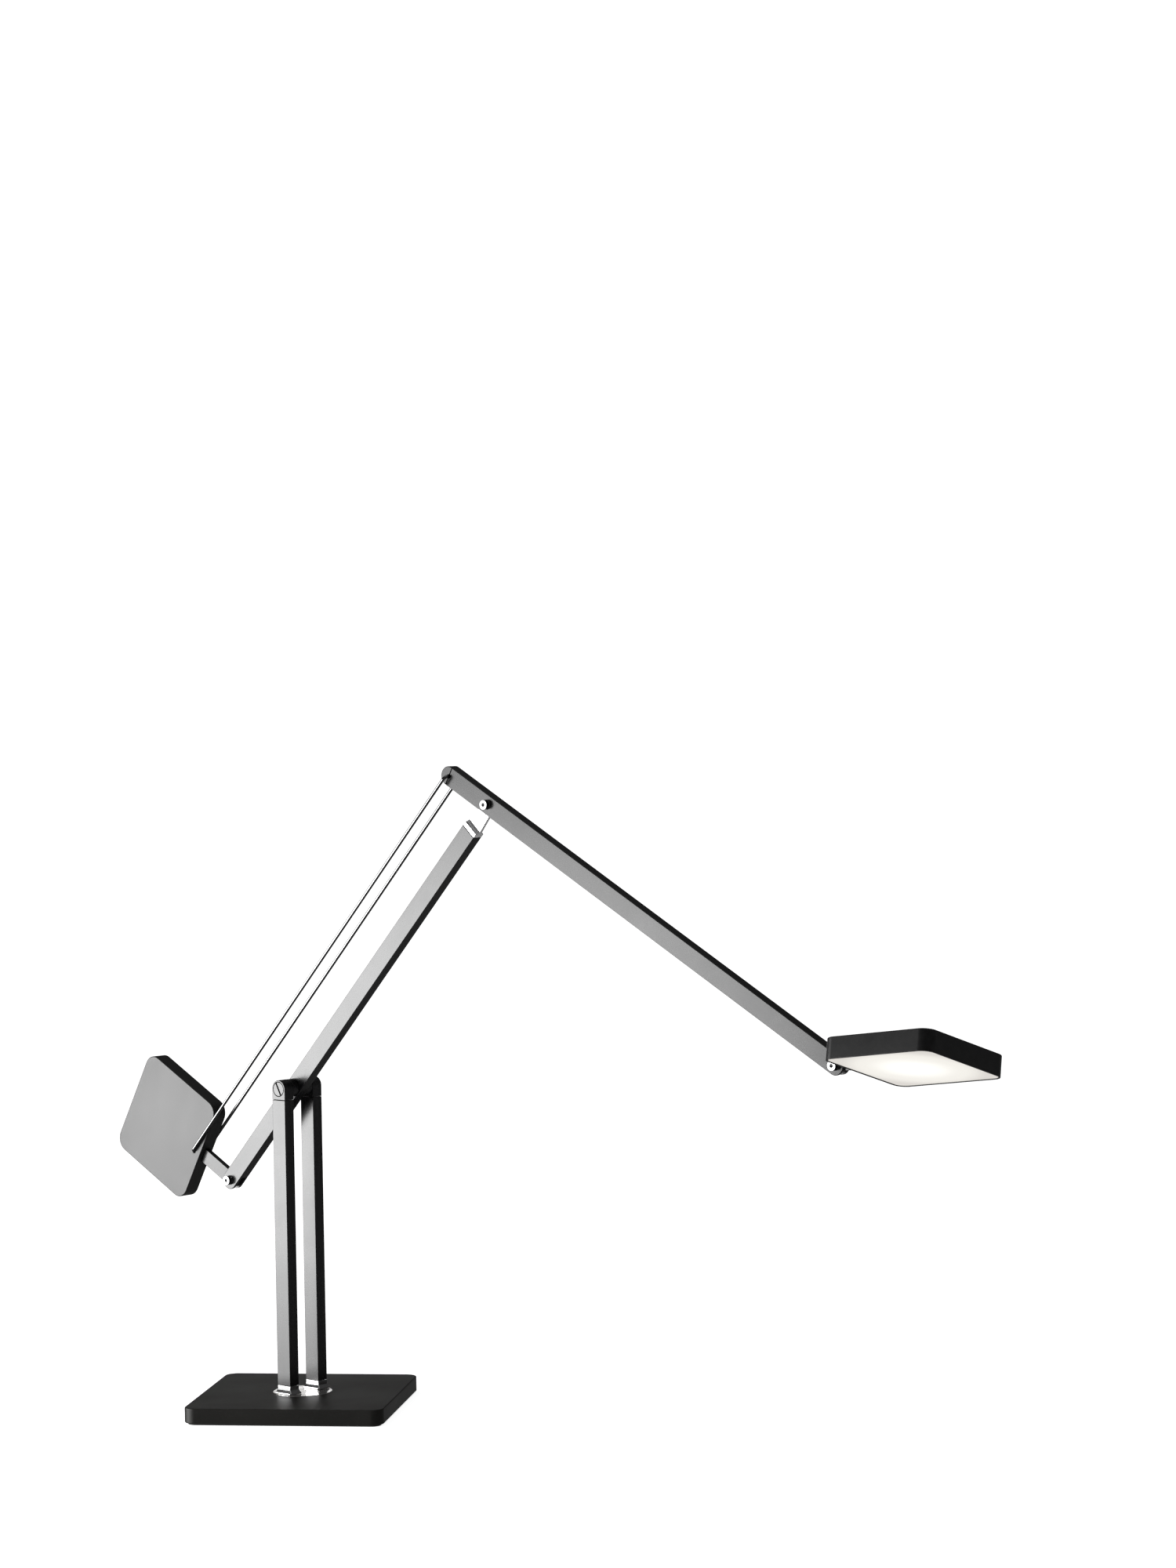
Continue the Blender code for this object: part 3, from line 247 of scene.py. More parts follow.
sheet.links.new(floor_spot.outputs["Object"], away.inputs[0])
sheet.links.new(scaled(sheet, away.outputs["Value"], 0.2, 1.6, GLOW_NEAR, GLOW_FAR, "SMOOTHSTEP"),
                shader.inputs["Emission Color"])
paper.cycles.emission_sampling = "NONE"
floor_mesh.materials.append(paper)
floor.visible_glossy = False
floor.visible_shadow = False
print("floor", 2 * FLOOR_HALF, "m wide")

# %% [markdown]
# ## Finishes
# Real metal is never one flat colour.  Five effects come back in many finishes, so each is one shader group:
# bare edges, hand-worn patches, long grain left by drawing or brushing, the orange-peel of powder coat, and
# the rings that a lathe leaves.  Each group gives out only a mask or a height; the material decides its use.
# %% Helpers for shader groups
SHADER_SOCKET = {"float": "NodeSocketFloat", "vector": "NodeSocketVector"}


def shader_group(name, takes, gives):
    """An empty shader group with named inputs and outputs, and its two end nodes."""
    tree = bpy.data.node_groups.new(name, "ShaderNodeTree")
    for label, kind, value in takes:
        socket = tree.interface.new_socket(label, in_out="INPUT", socket_type=SHADER_SOCKET[kind])
        socket.default_value = value
    for label in gives:
        tree.interface.new_socket(label, in_out="OUTPUT", socket_type="NodeSocketFloat")
    return tree, add(tree, "NodeGroupInput"), add(tree, "NodeGroupOutput")


def laid(tree):
    """Object coordinates, in metres from the lamp's origin."""
    return add(tree, "ShaderNodeTexCoord").outputs["Object"]


def placed(tree, **sources):
    """Object coordinates seen from the frame that the group's inputs give."""
    made = add(tree, "ShaderNodeMapping", vector_type="TEXTURE")
    for label, source in sources.items():
        tree.links.new(source, made.inputs[label])
    tree.links.new(laid(tree), made.inputs["Vector"])
    return made.outputs[0]


def noise(tree, where, fineness, detail=2.0, roughness=0.5, distortion=0.0):
    """A noise texture's value at a coordinate; its fineness is a number or a socket."""
    made = add(tree, "ShaderNodeTexNoise")
    if isinstance(fineness, bpy.types.NodeSocket):
        tree.links.new(fineness, made.inputs["Scale"])
    else:
        made.inputs["Scale"].default_value = fineness
    made.inputs["Detail"].default_value = detail
    made.inputs["Roughness"].default_value = roughness
    made.inputs["Distortion"].default_value = distortion
    tree.links.new(where, made.inputs["Vector"])
    return made.outputs[0]


print("shader group helpers ready")

# %% [markdown]
# Edges lose their skin first.  A Bevel node bends the normal near an edge, so where it differs from the true
# normal, an edge is near; a cloud breaks the line up.  Hand marks are only a soft cloud.
# %% Bare edges and hand marks
FACE_LIKENESS, EDGE_LIKENESS = 0.995, 0.86
edge_tree, edge_in, edge_out = shader_group("bare_edges", [("Width", "float", 0.0006)], ["Mask"])
round_normal = add(edge_tree, "ShaderNodeBevel", samples=4)
surface = add(edge_tree, "ShaderNodeNewGeometry")
likeness = add(edge_tree, "ShaderNodeVectorMath", operation="DOT_PRODUCT")
edge_tree.links.new(edge_in.outputs["Width"], round_normal.inputs["Radius"])
edge_tree.links.new(round_normal.outputs[0], likeness.inputs[0])
edge_tree.links.new(surface.outputs["Normal"], likeness.inputs[1])
turning = scaled(edge_tree, likeness.outputs["Value"], FACE_LIKENESS, EDGE_LIKENESS, 0, 1)
patches = scaled(edge_tree, noise(edge_tree, laid(edge_tree), 90, 4), 0.38, 0.62, 0.15, 1)
edge_tree.links.new(arithmetic(edge_tree, "MULTIPLY", turning, patches), edge_out.inputs["Mask"])

touch_tree, touch_in, touch_out = shader_group("hand_marks", [("Fineness", "float", 22.0)], ["Mask"])
cloud = noise(touch_tree, laid(touch_tree), touch_in.outputs["Fineness"], 5, 0.6, 0.4)
touch_tree.links.new(scaled(touch_tree, cloud, 0.32, 0.68, 0, 1), touch_out.inputs["Mask"])
print("groups:", edge_tree.name, touch_tree.name)

# %% [markdown]
# Drawing and brushing leave long scratches: a noise squeezed across the piece and stretched along it.  The
# group takes the piece's own frame, so the scratches follow a sloping arm.
# %% Long grain
STREAK_SHARE = 0.13                     # streaks are this much coarser than the scratches
grain_tree, grain_in, grain_out = shader_group("long_grain", [
    ("Origin", "vector", (0, 0, 0)), ("Turn", "vector", (0, 0, 0)), ("Size", "vector", (0.03, 0.0003, 0.0003))],
    ["Height", "Streak"])
drawn = placed(grain_tree, Location=grain_in.outputs["Origin"], Rotation=grain_in.outputs["Turn"],
               Scale=grain_in.outputs["Size"])
grain_tree.links.new(noise(grain_tree, drawn, 1.0, 3, 0.6), grain_out.inputs["Height"])
grain_tree.links.new(scaled(grain_tree, noise(grain_tree, drawn, STREAK_SHARE, 2), 0.35, 0.65, 0, 1),
                     grain_out.inputs["Streak"])
print("group:", grain_tree.name)

# %% [markdown]
# Powder coat melts into small cells, so its height is a cloud plus a cell pattern, and a finer noise picks
# out a few specks of dust.
# %% Powder peel
SPECK_FINENESS = 2400
peel_tree, peel_in, peel_out = shader_group("powder_peel", [("Fineness", "float", 900.0)], ["Height", "Speck"])
here = laid(peel_tree)
pits = noise(peel_tree, here, peel_in.outputs["Fineness"], 1.5)
grit = add(peel_tree, "ShaderNodeTexVoronoi", feature="SMOOTH_F1")
peel_tree.links.new(here, grit.inputs["Vector"])
peel_tree.links.new(peel_in.outputs["Fineness"], grit.inputs["Scale"])
peel_tree.links.new(arithmetic(peel_tree, "ADD", pits, grit.outputs["Distance"]), peel_out.inputs["Height"])
peel_tree.links.new(scaled(peel_tree, noise(peel_tree, here, SPECK_FINENESS, 1), 0.55, 0.75, 0, 1),
                    peel_out.inputs["Speck"])
print("group:", peel_tree.name)

# %% [markdown]
# A lathe cuts rings.  The distance from the piece's axis, counted in ring pitches, drives a noise with one
# dimension, so the grooves differ but stay round.
# %% Lathe rings
ring_tree, ring_in, ring_out = shader_group("lathe_rings", [
    ("Centre", "vector", (0, 0, 0)), ("Turn", "vector", (0, 0, 0)), ("Pitch", "float", 0.00025)], ["Height"])
flat = add(ring_tree, "ShaderNodeVectorMath", operation="MULTIPLY")
flat.inputs[1].default_value = (1, 1, 0)
radius_of = add(ring_tree, "ShaderNodeVectorMath", operation="LENGTH")
ring_tree.links.new(placed(ring_tree, Location=ring_in.outputs["Centre"], Rotation=ring_in.outputs["Turn"]),
                    flat.inputs[0])
ring_tree.links.new(flat.outputs[0], radius_of.inputs[0])
turns = arithmetic(ring_tree, "DIVIDE", radius_of.outputs["Value"], ring_in.outputs["Pitch"])
groove = add(ring_tree, "ShaderNodeTexNoise", noise_dimensions="1D")
groove.inputs["Scale"].default_value = 1.0
groove.inputs["Detail"].default_value = 2
ring_tree.links.new(turns, groove.inputs["W"])
ring_tree.links.new(groove.outputs[0], ring_out.inputs["Height"])
print("shader groups:", [tree.name for tree in bpy.data.node_groups])

# %% [markdown]
# A finish starts as a Principled shader with its fixed numbers.  Small helpers then place a group, mix two
# colours by a mask, set a roughness range and lay heights on each other as bump, so each finish reads as a
# short recipe.
# %% Recipe helpers
def fresh(name, **numbers):
    """A new material and its tree and shader, with the shader's fixed numbers set."""
    made = bpy.data.materials.new(name)
    made.use_nodes = True
    tree = made.node_tree
    principled = tree.nodes["Principled BSDF"]
    for label, value in numbers.items():
        principled.inputs[label.replace("_", " ")].default_value = value
    return made, tree, principled


def effect(tree, group, **values):
    """A shader group placed in a material, with its inputs set."""
    made = add(tree, "ShaderNodeGroup", node_tree=group)
    for label, value in values.items():
        made.inputs[label].default_value = value
    return made.outputs


def mixed(tree, mask, under, top):
    """A colour that turns into the top one where the mask rises; the one under it may be a socket."""
    made = add(tree, "ShaderNodeMix", data_type="RGBA")
    if isinstance(under, bpy.types.NodeSocket):
        tree.links.new(under, made.inputs["A"])
    else:
        made.inputs["A"].default_value = (*under, 1)
    made.inputs["B"].default_value = (*top, 1)
    tree.links.new(mask, made.inputs["Factor"])
    return next(socket for socket in made.outputs if socket.type == "RGBA")


def bumped(tree, principled, *layers):
    """Lay heights on each other; each layer is a height and its depth in metres."""
    below = None
    for height, depth in layers:
        bump = add(tree, "ShaderNodeBump")
        bump.inputs["Strength"].default_value = 1.0
        bump.inputs["Distance"].default_value = depth
        tree.links.new(height, bump.inputs["Height"])
        if below is not None:
            tree.links.new(below, bump.inputs["Normal"])
        below = bump.outputs[0]
    tree.links.new(below, principled.inputs["Normal"])


print("recipe helpers ready")

# %% [markdown]
# **Black anodised aluminium** covers the posts, arms, caps and head.  The dye sits in the oxide, so the skin
# is nearly black with a satin gloss, faint streaks along the drawn tube, and slightly greyer edges.
# %% Black anodised
DYED, DYED_STREAK, BARE_EDGE = (0.0045, 0.0045, 0.0048), (0.0075, 0.0073, 0.0076), (0.045, 0.044, 0.044)
EVEN_GRAIN = (0.0005, 0.0005, 0.0005)   # a turned or blasted piece has no long direction


def anodised(name, place=None, grain=(0.04, 0.0004, 0.0004), gloss=0.5, base_rough=0.25):
    """Dyed aluminium; a drawn piece gives its frame, so that its grain runs along it."""
    made, tree, principled = fresh(name, Metallic=0.0, Specular_IOR_Level=gloss)
    edges = effect(tree, edge_tree, Width=0.0005)["Mask"]
    marks = effect(tree, touch_tree, Fineness=19.0)["Mask"]
    if place is None:
        drawn_grain = effect(tree, grain_tree, Size=EVEN_GRAIN)
    else:
        drawn_grain = effect(tree, grain_tree, Origin=place.to_translation(), Turn=place.to_euler(), Size=grain)
    skin = mixed(tree, drawn_grain["Streak"], DYED, DYED_STREAK)
    tree.links.new(mixed(tree, edges, skin, BARE_EDGE), principled.inputs["Base Color"])
    wear = scaled(tree, marks, 0, 1, base_rough, base_rough + 0.05)
    tree.links.new(wear, principled.inputs["Roughness"])
    fine = noise(tree, laid(tree), 2600, 2)
    bumped(tree, principled, (drawn_grain["Height"], 0.0000003), (fine, 0.0000006))
    return made


upright = Matrix.Rotation(math.radians(90), 4, "Y")
post_black = anodised("black_anodised_posts", upright)
lower_black = anodised("black_anodised_lower", lower_place)
upper_black = anodised("black_anodised_upper", upper_place, gloss=0.36)
plain_black = anodised("black_anodised_turned")
screw_black = anodised("black_anodised_screws", base_rough=0.22)
stub_black = anodised("black_anodised_stub", upper_place, gloss=0.42)
head_black = anodised("black_anodised_head", head_place, grain=(0.0006, 0.0006, 0.0006), base_rough=0.3)
print("anodised finishes:", [one.name for one in bpy.data.materials if "anodised" in one.name])

# %% [markdown]
# **Powder coat** on the heavy steel foot and the counterweight is a warmer black with a very fine
# orange-peel and a few lighter specks of dust.
# %% Powder coat
DUST, DUST_SHARE = (0.08, 0.078, 0.074), 0.12
RUBBED_EDGE, RUBBED_SHARE = (0.04, 0.039, 0.037), 0.6


def powder_coat(name, shade, gloss, base_rough):
    """A coat with a fine orange-peel, rubbed edges and a few specks of dust."""
    made, tree, principled = fresh(name, Metallic=0.0, Specular_IOR_Level=gloss)
    edges = effect(tree, edge_tree, Width=0.0009)["Mask"]
    marks = effect(tree, touch_tree, Fineness=13.0)["Mask"]
    peel = effect(tree, peel_tree, Fineness=1100.0)
    lighter = tuple(value * 1.5 for value in shade)
    skin = mixed(tree, marks, shade, lighter)
    specked = mixed(tree, arithmetic(tree, "MULTIPLY", peel["Speck"], DUST_SHARE), skin, DUST)
    rubbed = mixed(tree, arithmetic(tree, "MULTIPLY", edges, RUBBED_SHARE), specked, RUBBED_EDGE)
    tree.links.new(rubbed, principled.inputs["Base Color"])
    tree.links.new(scaled(tree, marks, 0, 1, base_rough, base_rough + 0.06), principled.inputs["Roughness"])
    bumped(tree, principled, (peel["Height"], 0.0000015))
    return made


foot_coat = powder_coat("powder_coat_foot", (0.0050, 0.0046, 0.0037), 0.26, 0.47)
weight_coat = powder_coat("powder_coat_weight", (0.006, 0.006, 0.006), 0.36, 0.30)
print("powder coats ready")

# %% [markdown]
# **Steel** shows up in three states: polished screw heads and rods, brushed faces on the elbow block and the
# post feet, and plain machined parts inside.  Only the direction and depth of the scratches differ.
# %% Steel, bronze and bare aluminium
def steel(name, shade, base_rough, place=Matrix.Identity(4), size=(0.004, 0.00012, 0.00012), depth=0.000001,
          ring_pitch=None, metal=1.0):
    """A bare metal whose scratches run along the place's X, or as rings about its Z where a pitch is given."""
    made, tree, principled = fresh(name, Metallic=metal)
    marks = effect(tree, touch_tree, Fineness=60.0)["Mask"]
    darker = tuple(value * 0.86 for value in shade)
    tree.links.new(mixed(tree, marks, shade, darker), principled.inputs["Base Color"])
    tree.links.new(scaled(tree, marks, 0, 1, base_rough, base_rough + 0.07), principled.inputs["Roughness"])
    middle, turn = place.to_translation(), place.to_euler()
    if ring_pitch is not None:
        height = effect(tree, ring_tree, Centre=middle, Turn=turn, Pitch=ring_pitch)["Height"]
    else:
        height = effect(tree, grain_tree, Origin=middle, Turn=turn, Size=size)["Height"]
    bumped(tree, principled, (height, depth))
    return made


across_y = Matrix.Rotation(math.radians(90), 4, "X")
polished = steel("polished_steel", (0.24, 0.24, 0.243), 0.10, size=(0.0008, 0.0008, 0.0008), depth=0.0000004)
rod_steel = steel("polished_rods", (0.21, 0.21, 0.212), 0.07, rod_place, (0.02, 0.0002, 0.0002), 0.0000003)
brushed = steel("brushed_elbow", (0.66, 0.66, 0.665), 0.15, lower_place @ across_y, depth=0.0000005, metal=0.7)
brushed_feet = steel("brushed_feet", (0.56, 0.56, 0.56), 0.16, upright)
disc_steel = steel("turned_disc", (0.84, 0.82, 0.79), 0.17, depth=0.000002, ring_pitch=0.0003)
plain_steel = steel("machined_steel", (0.45, 0.45, 0.46), 0.32, size=(0.0006, 0.0003, 0.0006), depth=0.000003)
bronze = steel("bearing_bronze", (0.56, 0.38, 0.2), 0.38, size=(0.0005, 0.0005, 0.0005), depth=0.000004)
bare_aluminium = steel("rolled_aluminium", (0.72, 0.72, 0.73), 0.36, head_place, (0.02, 0.0004, 0.0004))
print("metals ready, materials so far:", len(bpy.data.materials))

# %% [markdown]
# **Plastics and rubber** are small here: a pad under the foot, the power socket, washers and the white parts
# in the head.  A moulded surface has a fine random grain and uneven gloss.
# %% Plastics and rubber
def moulded(name, shade, base_rough, grit_size=1500, depth=0.000006):
    """A moulded or painted surface with a fine random grain."""
    made, tree, principled = fresh(name, Metallic=0.0)
    marks = effect(tree, touch_tree, Fineness=45.0)["Mask"]
    lighter = tuple(min(1.0, value * 1.12 + 0.003) for value in shade)
    tree.links.new(mixed(tree, marks, shade, lighter), principled.inputs["Base Color"])
    tree.links.new(scaled(tree, marks, 0, 1, base_rough, base_rough + 0.1), principled.inputs["Roughness"])
    bumped(tree, principled, (noise(tree, laid(tree), grit_size, 3), depth))
    return made


pad_rubber = moulded("pad_rubber", (0.018, 0.018, 0.018), 0.75, 900, 0.00002)
socket_black = moulded("socket_plastic", (0.014, 0.014, 0.015), 0.35)
white_plastic = moulded("white_plastic", (0.82, 0.82, 0.80), 0.45)
board_white = moulded("solder_mask", (0.80, 0.80, 0.77), 0.4, 700, 0.000004)
print("plastics and rubber ready, materials so far:", len(bpy.data.materials))

# %% [markdown]
# **The opal panel** glows.  Its middle is brightest and warm white, and it falls off towards the corners,
# where fewer chips shine.  The fall-off follows the panel's own UV map, whose middle is at 0.5, 0.5.
# %% Opal finish
opal, opal_tree, opal_shader = fresh("opal_panel", Roughness=0.42, Emission_Strength=1.0)
opal_uv = add(opal_tree, "ShaderNodeTexCoord")
opal_middle = add(opal_tree, "ShaderNodeVectorMath", operation="SUBTRACT")
opal_middle.inputs[1].default_value = (0.5, 0.5, 0)
opal_away = add(opal_tree, "ShaderNodeVectorMath", operation="LENGTH")
opal_tree.links.new(opal_uv.outputs["UV"], opal_middle.inputs[0])
opal_tree.links.new(opal_middle.outputs[0], opal_away.inputs[0])
milk = arithmetic(opal_tree, "ADD", opal_away.outputs["Value"],
                  scaled(opal_tree, noise(opal_tree, laid(opal_tree), 60, 3), 0, 1, -0.012, 0.012))
fall = add(opal_tree, "ShaderNodeValToRGB")
ramp = fall.color_ramp
ramp.interpolation = "EASE"
ramp.elements[0].position, ramp.elements[0].color = 0.12, (0.98, 0.965, 0.92, 1)
ramp.elements[1].position, ramp.elements[1].color = 0.60, (0.62, 0.59, 0.555, 1)
ramp.elements.new(0.40).color = (0.80, 0.775, 0.725, 1)
opal_tree.links.new(milk, fall.inputs[0])
opal_tree.links.new(fall.outputs[0], opal_shader.inputs["Emission Color"])
opal_tree.links.new(mixed(opal_tree, milk, (0.10, 0.10, 0.095), (0.08, 0.08, 0.075)),
                    opal_shader.inputs["Base Color"])
bumped(opal_tree, opal_shader, (noise(opal_tree, laid(opal_tree), 1800, 2), 0.000003))
print("opal glow has", len(ramp.elements), "stops")

# %% [markdown]
# ## Shaping tools
# Most pieces are an outline pushed straight through a thickness.  Here an outline is a function of how far
# it is drawn in, which lets the same outline make a body whose edges are truly round: the last levels are
# simply drawn in along a quarter circle.
# %% Outlines
def arc(centre, radius, start, end, steps):
    """Points on an arc, with angles in degrees."""
    return [(centre[0] + radius * math.cos(math.radians(start + (end - start) * i / steps)),
             centre[1] + radius * math.sin(math.radians(start + (end - start) * i / steps)))
            for i in range(steps + 1)]


def rounded(width, height, corner, middle=(0, 0), steps=10):
    """A rectangle with round corners."""
    def outline(inset=0.0):
        half_w, half_h = width / 2 - inset, height / 2 - inset
        radius = max(corner - inset, 0.02 * MM)
        points = []
        for side_x, side_y, start in ((1, 1, 0), (-1, 1, 90), (-1, -1, 180), (1, -1, 270)):
            centre = (middle[0] + side_x * (half_w - radius), middle[1] + side_y * (half_h - radius))
            points += arc(centre, radius, start, start + 90, steps)
        return points
    return outline


def bar(left, right, radius, round_left=False, round_right=False, steps=40):
    """A bar about the X axis whose ends are square or half circles about (left, 0) or (right, 0)."""
    def outline(inset=0.0):
        size = radius - inset
        if round_right:
            points = arc((right, 0), size, -90, 90, steps)
        else:
            points = [(right - inset, -size), (right - inset, size)]
        if round_left:
            return points + arc((left, 0), size, 90, 270, steps)
        return points + [(left + inset, size), (left + inset, -size)]
    return outline


print("a square with round corners has", len(rounded(1, 1, 0.2)()), "points")

# %% [markdown]
# The levels say how far an outline is drawn in at each height.  Pushed up a Z axis they make standing pieces,
# pushed across Y they make the arms.
# %% Levels
def eased(low, high, edge, steps=4):
    """Levels from low to high, each with how far the outline is drawn in there, for round edges."""
    turns = [math.pi / 2 * i / steps for i in range(steps, -1, -1)]
    rise_in = [(edge * (1 - math.sin(turn)), edge * (1 - math.cos(turn))) for turn in turns]
    return [(low + up, inset) for up, inset in rise_in] + [(high - up, inset) for up, inset in reversed(rise_in)]


def lie(outline, levels):
    """Rings in the arm plane, one for each level across it."""
    return [[(x, y, z) for x, z in outline(inset)] for y, inset in levels]


def stand(outline, levels):
    """Level rings, one for each height."""
    return [[(x, y, z) for x, y in outline(inset)] for z, inset in levels]


print("levels of a plate with 1 mm edges:", eased(0, 10, 1))

# %% [markdown]
# A body is a skin through rings of points, closed at both ends.  A turned piece is the same skin with round
# rings, and the two plainest bodies, a pin and a block, serve as cutting tools.
# %% Solids
def solid(name, rings):
    """A closed body through rings with equal numbers of points."""
    build = bmesh.new()
    rows = [[build.verts.new(spot) for spot in ring] for ring in rings]
    for low, high in zip(rows, rows[1:]):
        for i in range(len(low)):
            j = (i + 1) % len(low)
            build.faces.new((low[i], low[j], high[j], high[i]))
    build.faces.new(rows[0])
    build.faces.new(rows[-1])
    bmesh.ops.recalc_face_normals(build, faces=build.faces)
    mesh = bpy.data.meshes.new(name)
    build.to_mesh(mesh)
    build.free()
    made = bpy.data.objects.new(name, mesh)
    bpy.context.scene.collection.objects.link(made)
    return made


AXES = {"X": lambda d, a, b: (d, a, b), "Y": lambda d, a, b: (a, d, b), "Z": lambda d, a, b: (a, b, d)}


def lathe(name, profile, axis="Y", at=(0, 0, 0), steps=64, first=0.0):
    """A turned body; the profile holds (distance along the axis, radius) from end to end."""
    rings = []
    for distance, radius in profile:
        ring = []
        for i in range(steps):
            angle = 2 * math.pi * i / steps + first
            spot = AXES[axis](distance, radius * math.cos(angle), radius * math.sin(angle))
            ring.append(tuple(s + a for s, a in zip(spot, at)))
        rings.append(ring)
    return solid(name, rings)


def pin(low, high, radius, axis="Y", at=(0, 0, 0), steps=48):
    """A round tool from low to high along an axis."""
    return lathe("tool", [(low, radius), (high, radius)], axis, at, steps)


def block(low, high):
    """A square tool between two corners."""
    corners = [(low[0], low[1]), (high[0], low[1]), (high[0], high[1]), (low[0], high[1])]
    return solid("tool", [[(x, y, z) for x, y in corners] for z in (low[2], high[2])])


print("solids can be turned about", list(AXES))

# %% [markdown]
# Slots and holes are cut with exact Booleans.  The tools are thrown away, a small bevel breaks the new sharp
# edges, and weighted normals keep the big faces flat next to their round edges.
# %% Cutting and settling
def baked(piece):
    """Turn the piece's modifiers into plain mesh."""
    bpy.context.view_layer.update()
    result = bpy.data.meshes.new_from_object(piece.evaluated_get(bpy.context.evaluated_depsgraph_get()))
    piece.modifiers.clear()
    piece.data = result
    result.name = piece.name
    return piece


def shaped(piece, *tools, operation="DIFFERENCE"):
    """Cut the tools out of the piece, or join them to it."""
    for tool in tools:
        change = piece.modifiers.new("shape", "BOOLEAN")
        change.operation = operation
        change.solver = "EXACT"
        change.object = tool
    baked(piece)
    for tool in tools:
        bpy.data.objects.remove(tool, do_unlink=True)


def settled(piece, place, finish, body, replaces, edge=0.0, segments=2, sharp=38):
    """Put a finished piece in its place, soften its edges, and hand it to its body."""
    piece.data.transform(place)
    piece.data.shade_smooth()
    if edge:
        bevel = piece.modifiers.new("edge", "BEVEL")
        bevel.width = edge
        bevel.segments = segments
        bevel.limit_method = "ANGLE"
        bevel.angle_limit = math.radians(sharp)
        bevel.use_clamp_overlap = False
    baked(piece)
    piece.data.set_sharp_from_angle(angle=math.radians(sharp))
    weighted = piece.modifiers.new("normals", "WEIGHTED_NORMAL")
    weighted.keep_sharp = True
    baked(piece)
    piece.data.materials.clear()
    piece.data.materials.append(finish)
    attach(piece, body)
    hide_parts(*replaces)
    print(f"{piece.name}: {len(piece.data.vertices)} corners on {body}")


print("cutting tools ready")

# %% [markdown]
# ## The foot
# A solid steel plate, milled round at its upright corners and slightly at its rim.  It could be a bevelled
# cube, but the outline tool keeps the 11 mm corners and the fine rim apart.  The turntable's disc lies in a
# shallow recess, so the cut keeps a thin dark ring round it.
# %% Foot plate
GAP = 0.3 * MM
FOOT_CORNER = 11 * MM
FOOT_RIM = 0.9 * MM
HUB_LEDGE, HUB_DEPTH = 3 * MM, 5 * MM   # a ledge for the disc round a deeper hollow for the hub
HUB_BORE = 10.3 * MM
base_low, base_high = span("base_plate", base_place)
disc_low, disc_high = span("turntable_disc", post_place)
foot_side = base_high.x - base_low.x
disc_r = disc_high.x
plate = solid("foot_plate", stand(rounded(foot_side, foot_side, FOOT_CORNER, steps=16),
                                  eased(base_low.z, base_high.z, FOOT_RIM, 5)))
inlet_low, inlet_high = span("power_inlet", base_place)
shaped(plate,
       pin(disc_low.z - GAP, base_high.z + MM, disc_r + GAP, "Z", steps=128),
       pin(base_high.z - HUB_DEPTH, base_high.z + MM, disc_r - HUB_LEDGE, "Z", steps=96),
       pin(base_low.z - MM, base_high.z, HUB_BORE, "Z"),
       block((inlet_low.x - GAP, inlet_low.y - GAP, inlet_low.z - GAP),
             (inlet_high.x + GAP, inlet_high.y + MM, inlet_high.z + GAP)))
settled(plate, base_place, foot_coat, "base", ["base_plate"], 0.15 * MM)

# %% [markdown]
# The power socket in the rear edge is a small moulded box with a round mouth, a chamfered lip and a centre
# contact, as low-voltage sockets have.
# %% Power socket
MOUTH_R, LIP_R, CONTACT_R = 2.8 * MM, 3.3 * MM, 1 * MM
socket_axis = (0, 0, (inlet_low.z + inlet_high.z) / 2)
mouth = inlet_high.y
socket = block(inlet_low, inlet_high)
socket.name = "power_socket"
shaped(socket, lathe("tool", [(mouth - 10 * MM, MOUTH_R), (mouth - 0.6 * MM, MOUTH_R), (mouth, LIP_R),
                              (mouth + MM, LIP_R)], "Y", socket_axis))
contact = lathe("tool", [(mouth - 10.5 * MM, CONTACT_R), (mouth - 1.8 * MM, CONTACT_R),
                         (mouth - 1.3 * MM, 0.7 * CONTACT_R)], "Y", socket_axis, 24)
shaped(socket, contact, operation="UNION")
settled(socket, base_place, socket_black, "base", ["power_inlet"], 0.12 * MM)

# %% [markdown]
# ## Turntable and posts
# The disc is a thin turned plate, so a lathe profile with a round rim is all it takes.
# %% Turntable disc
DISC_RIM = 0.35 * MM
disc_profile = [(z, disc_r - inset) for z, inset in eased(disc_low.z, disc_high.z, DISC_RIM, 3)]
disc = lathe("turn_disc", disc_profile, "Z", steps=128)
settled(disc, post_place, disc_steel, "turntable", ["turntable_disc"])

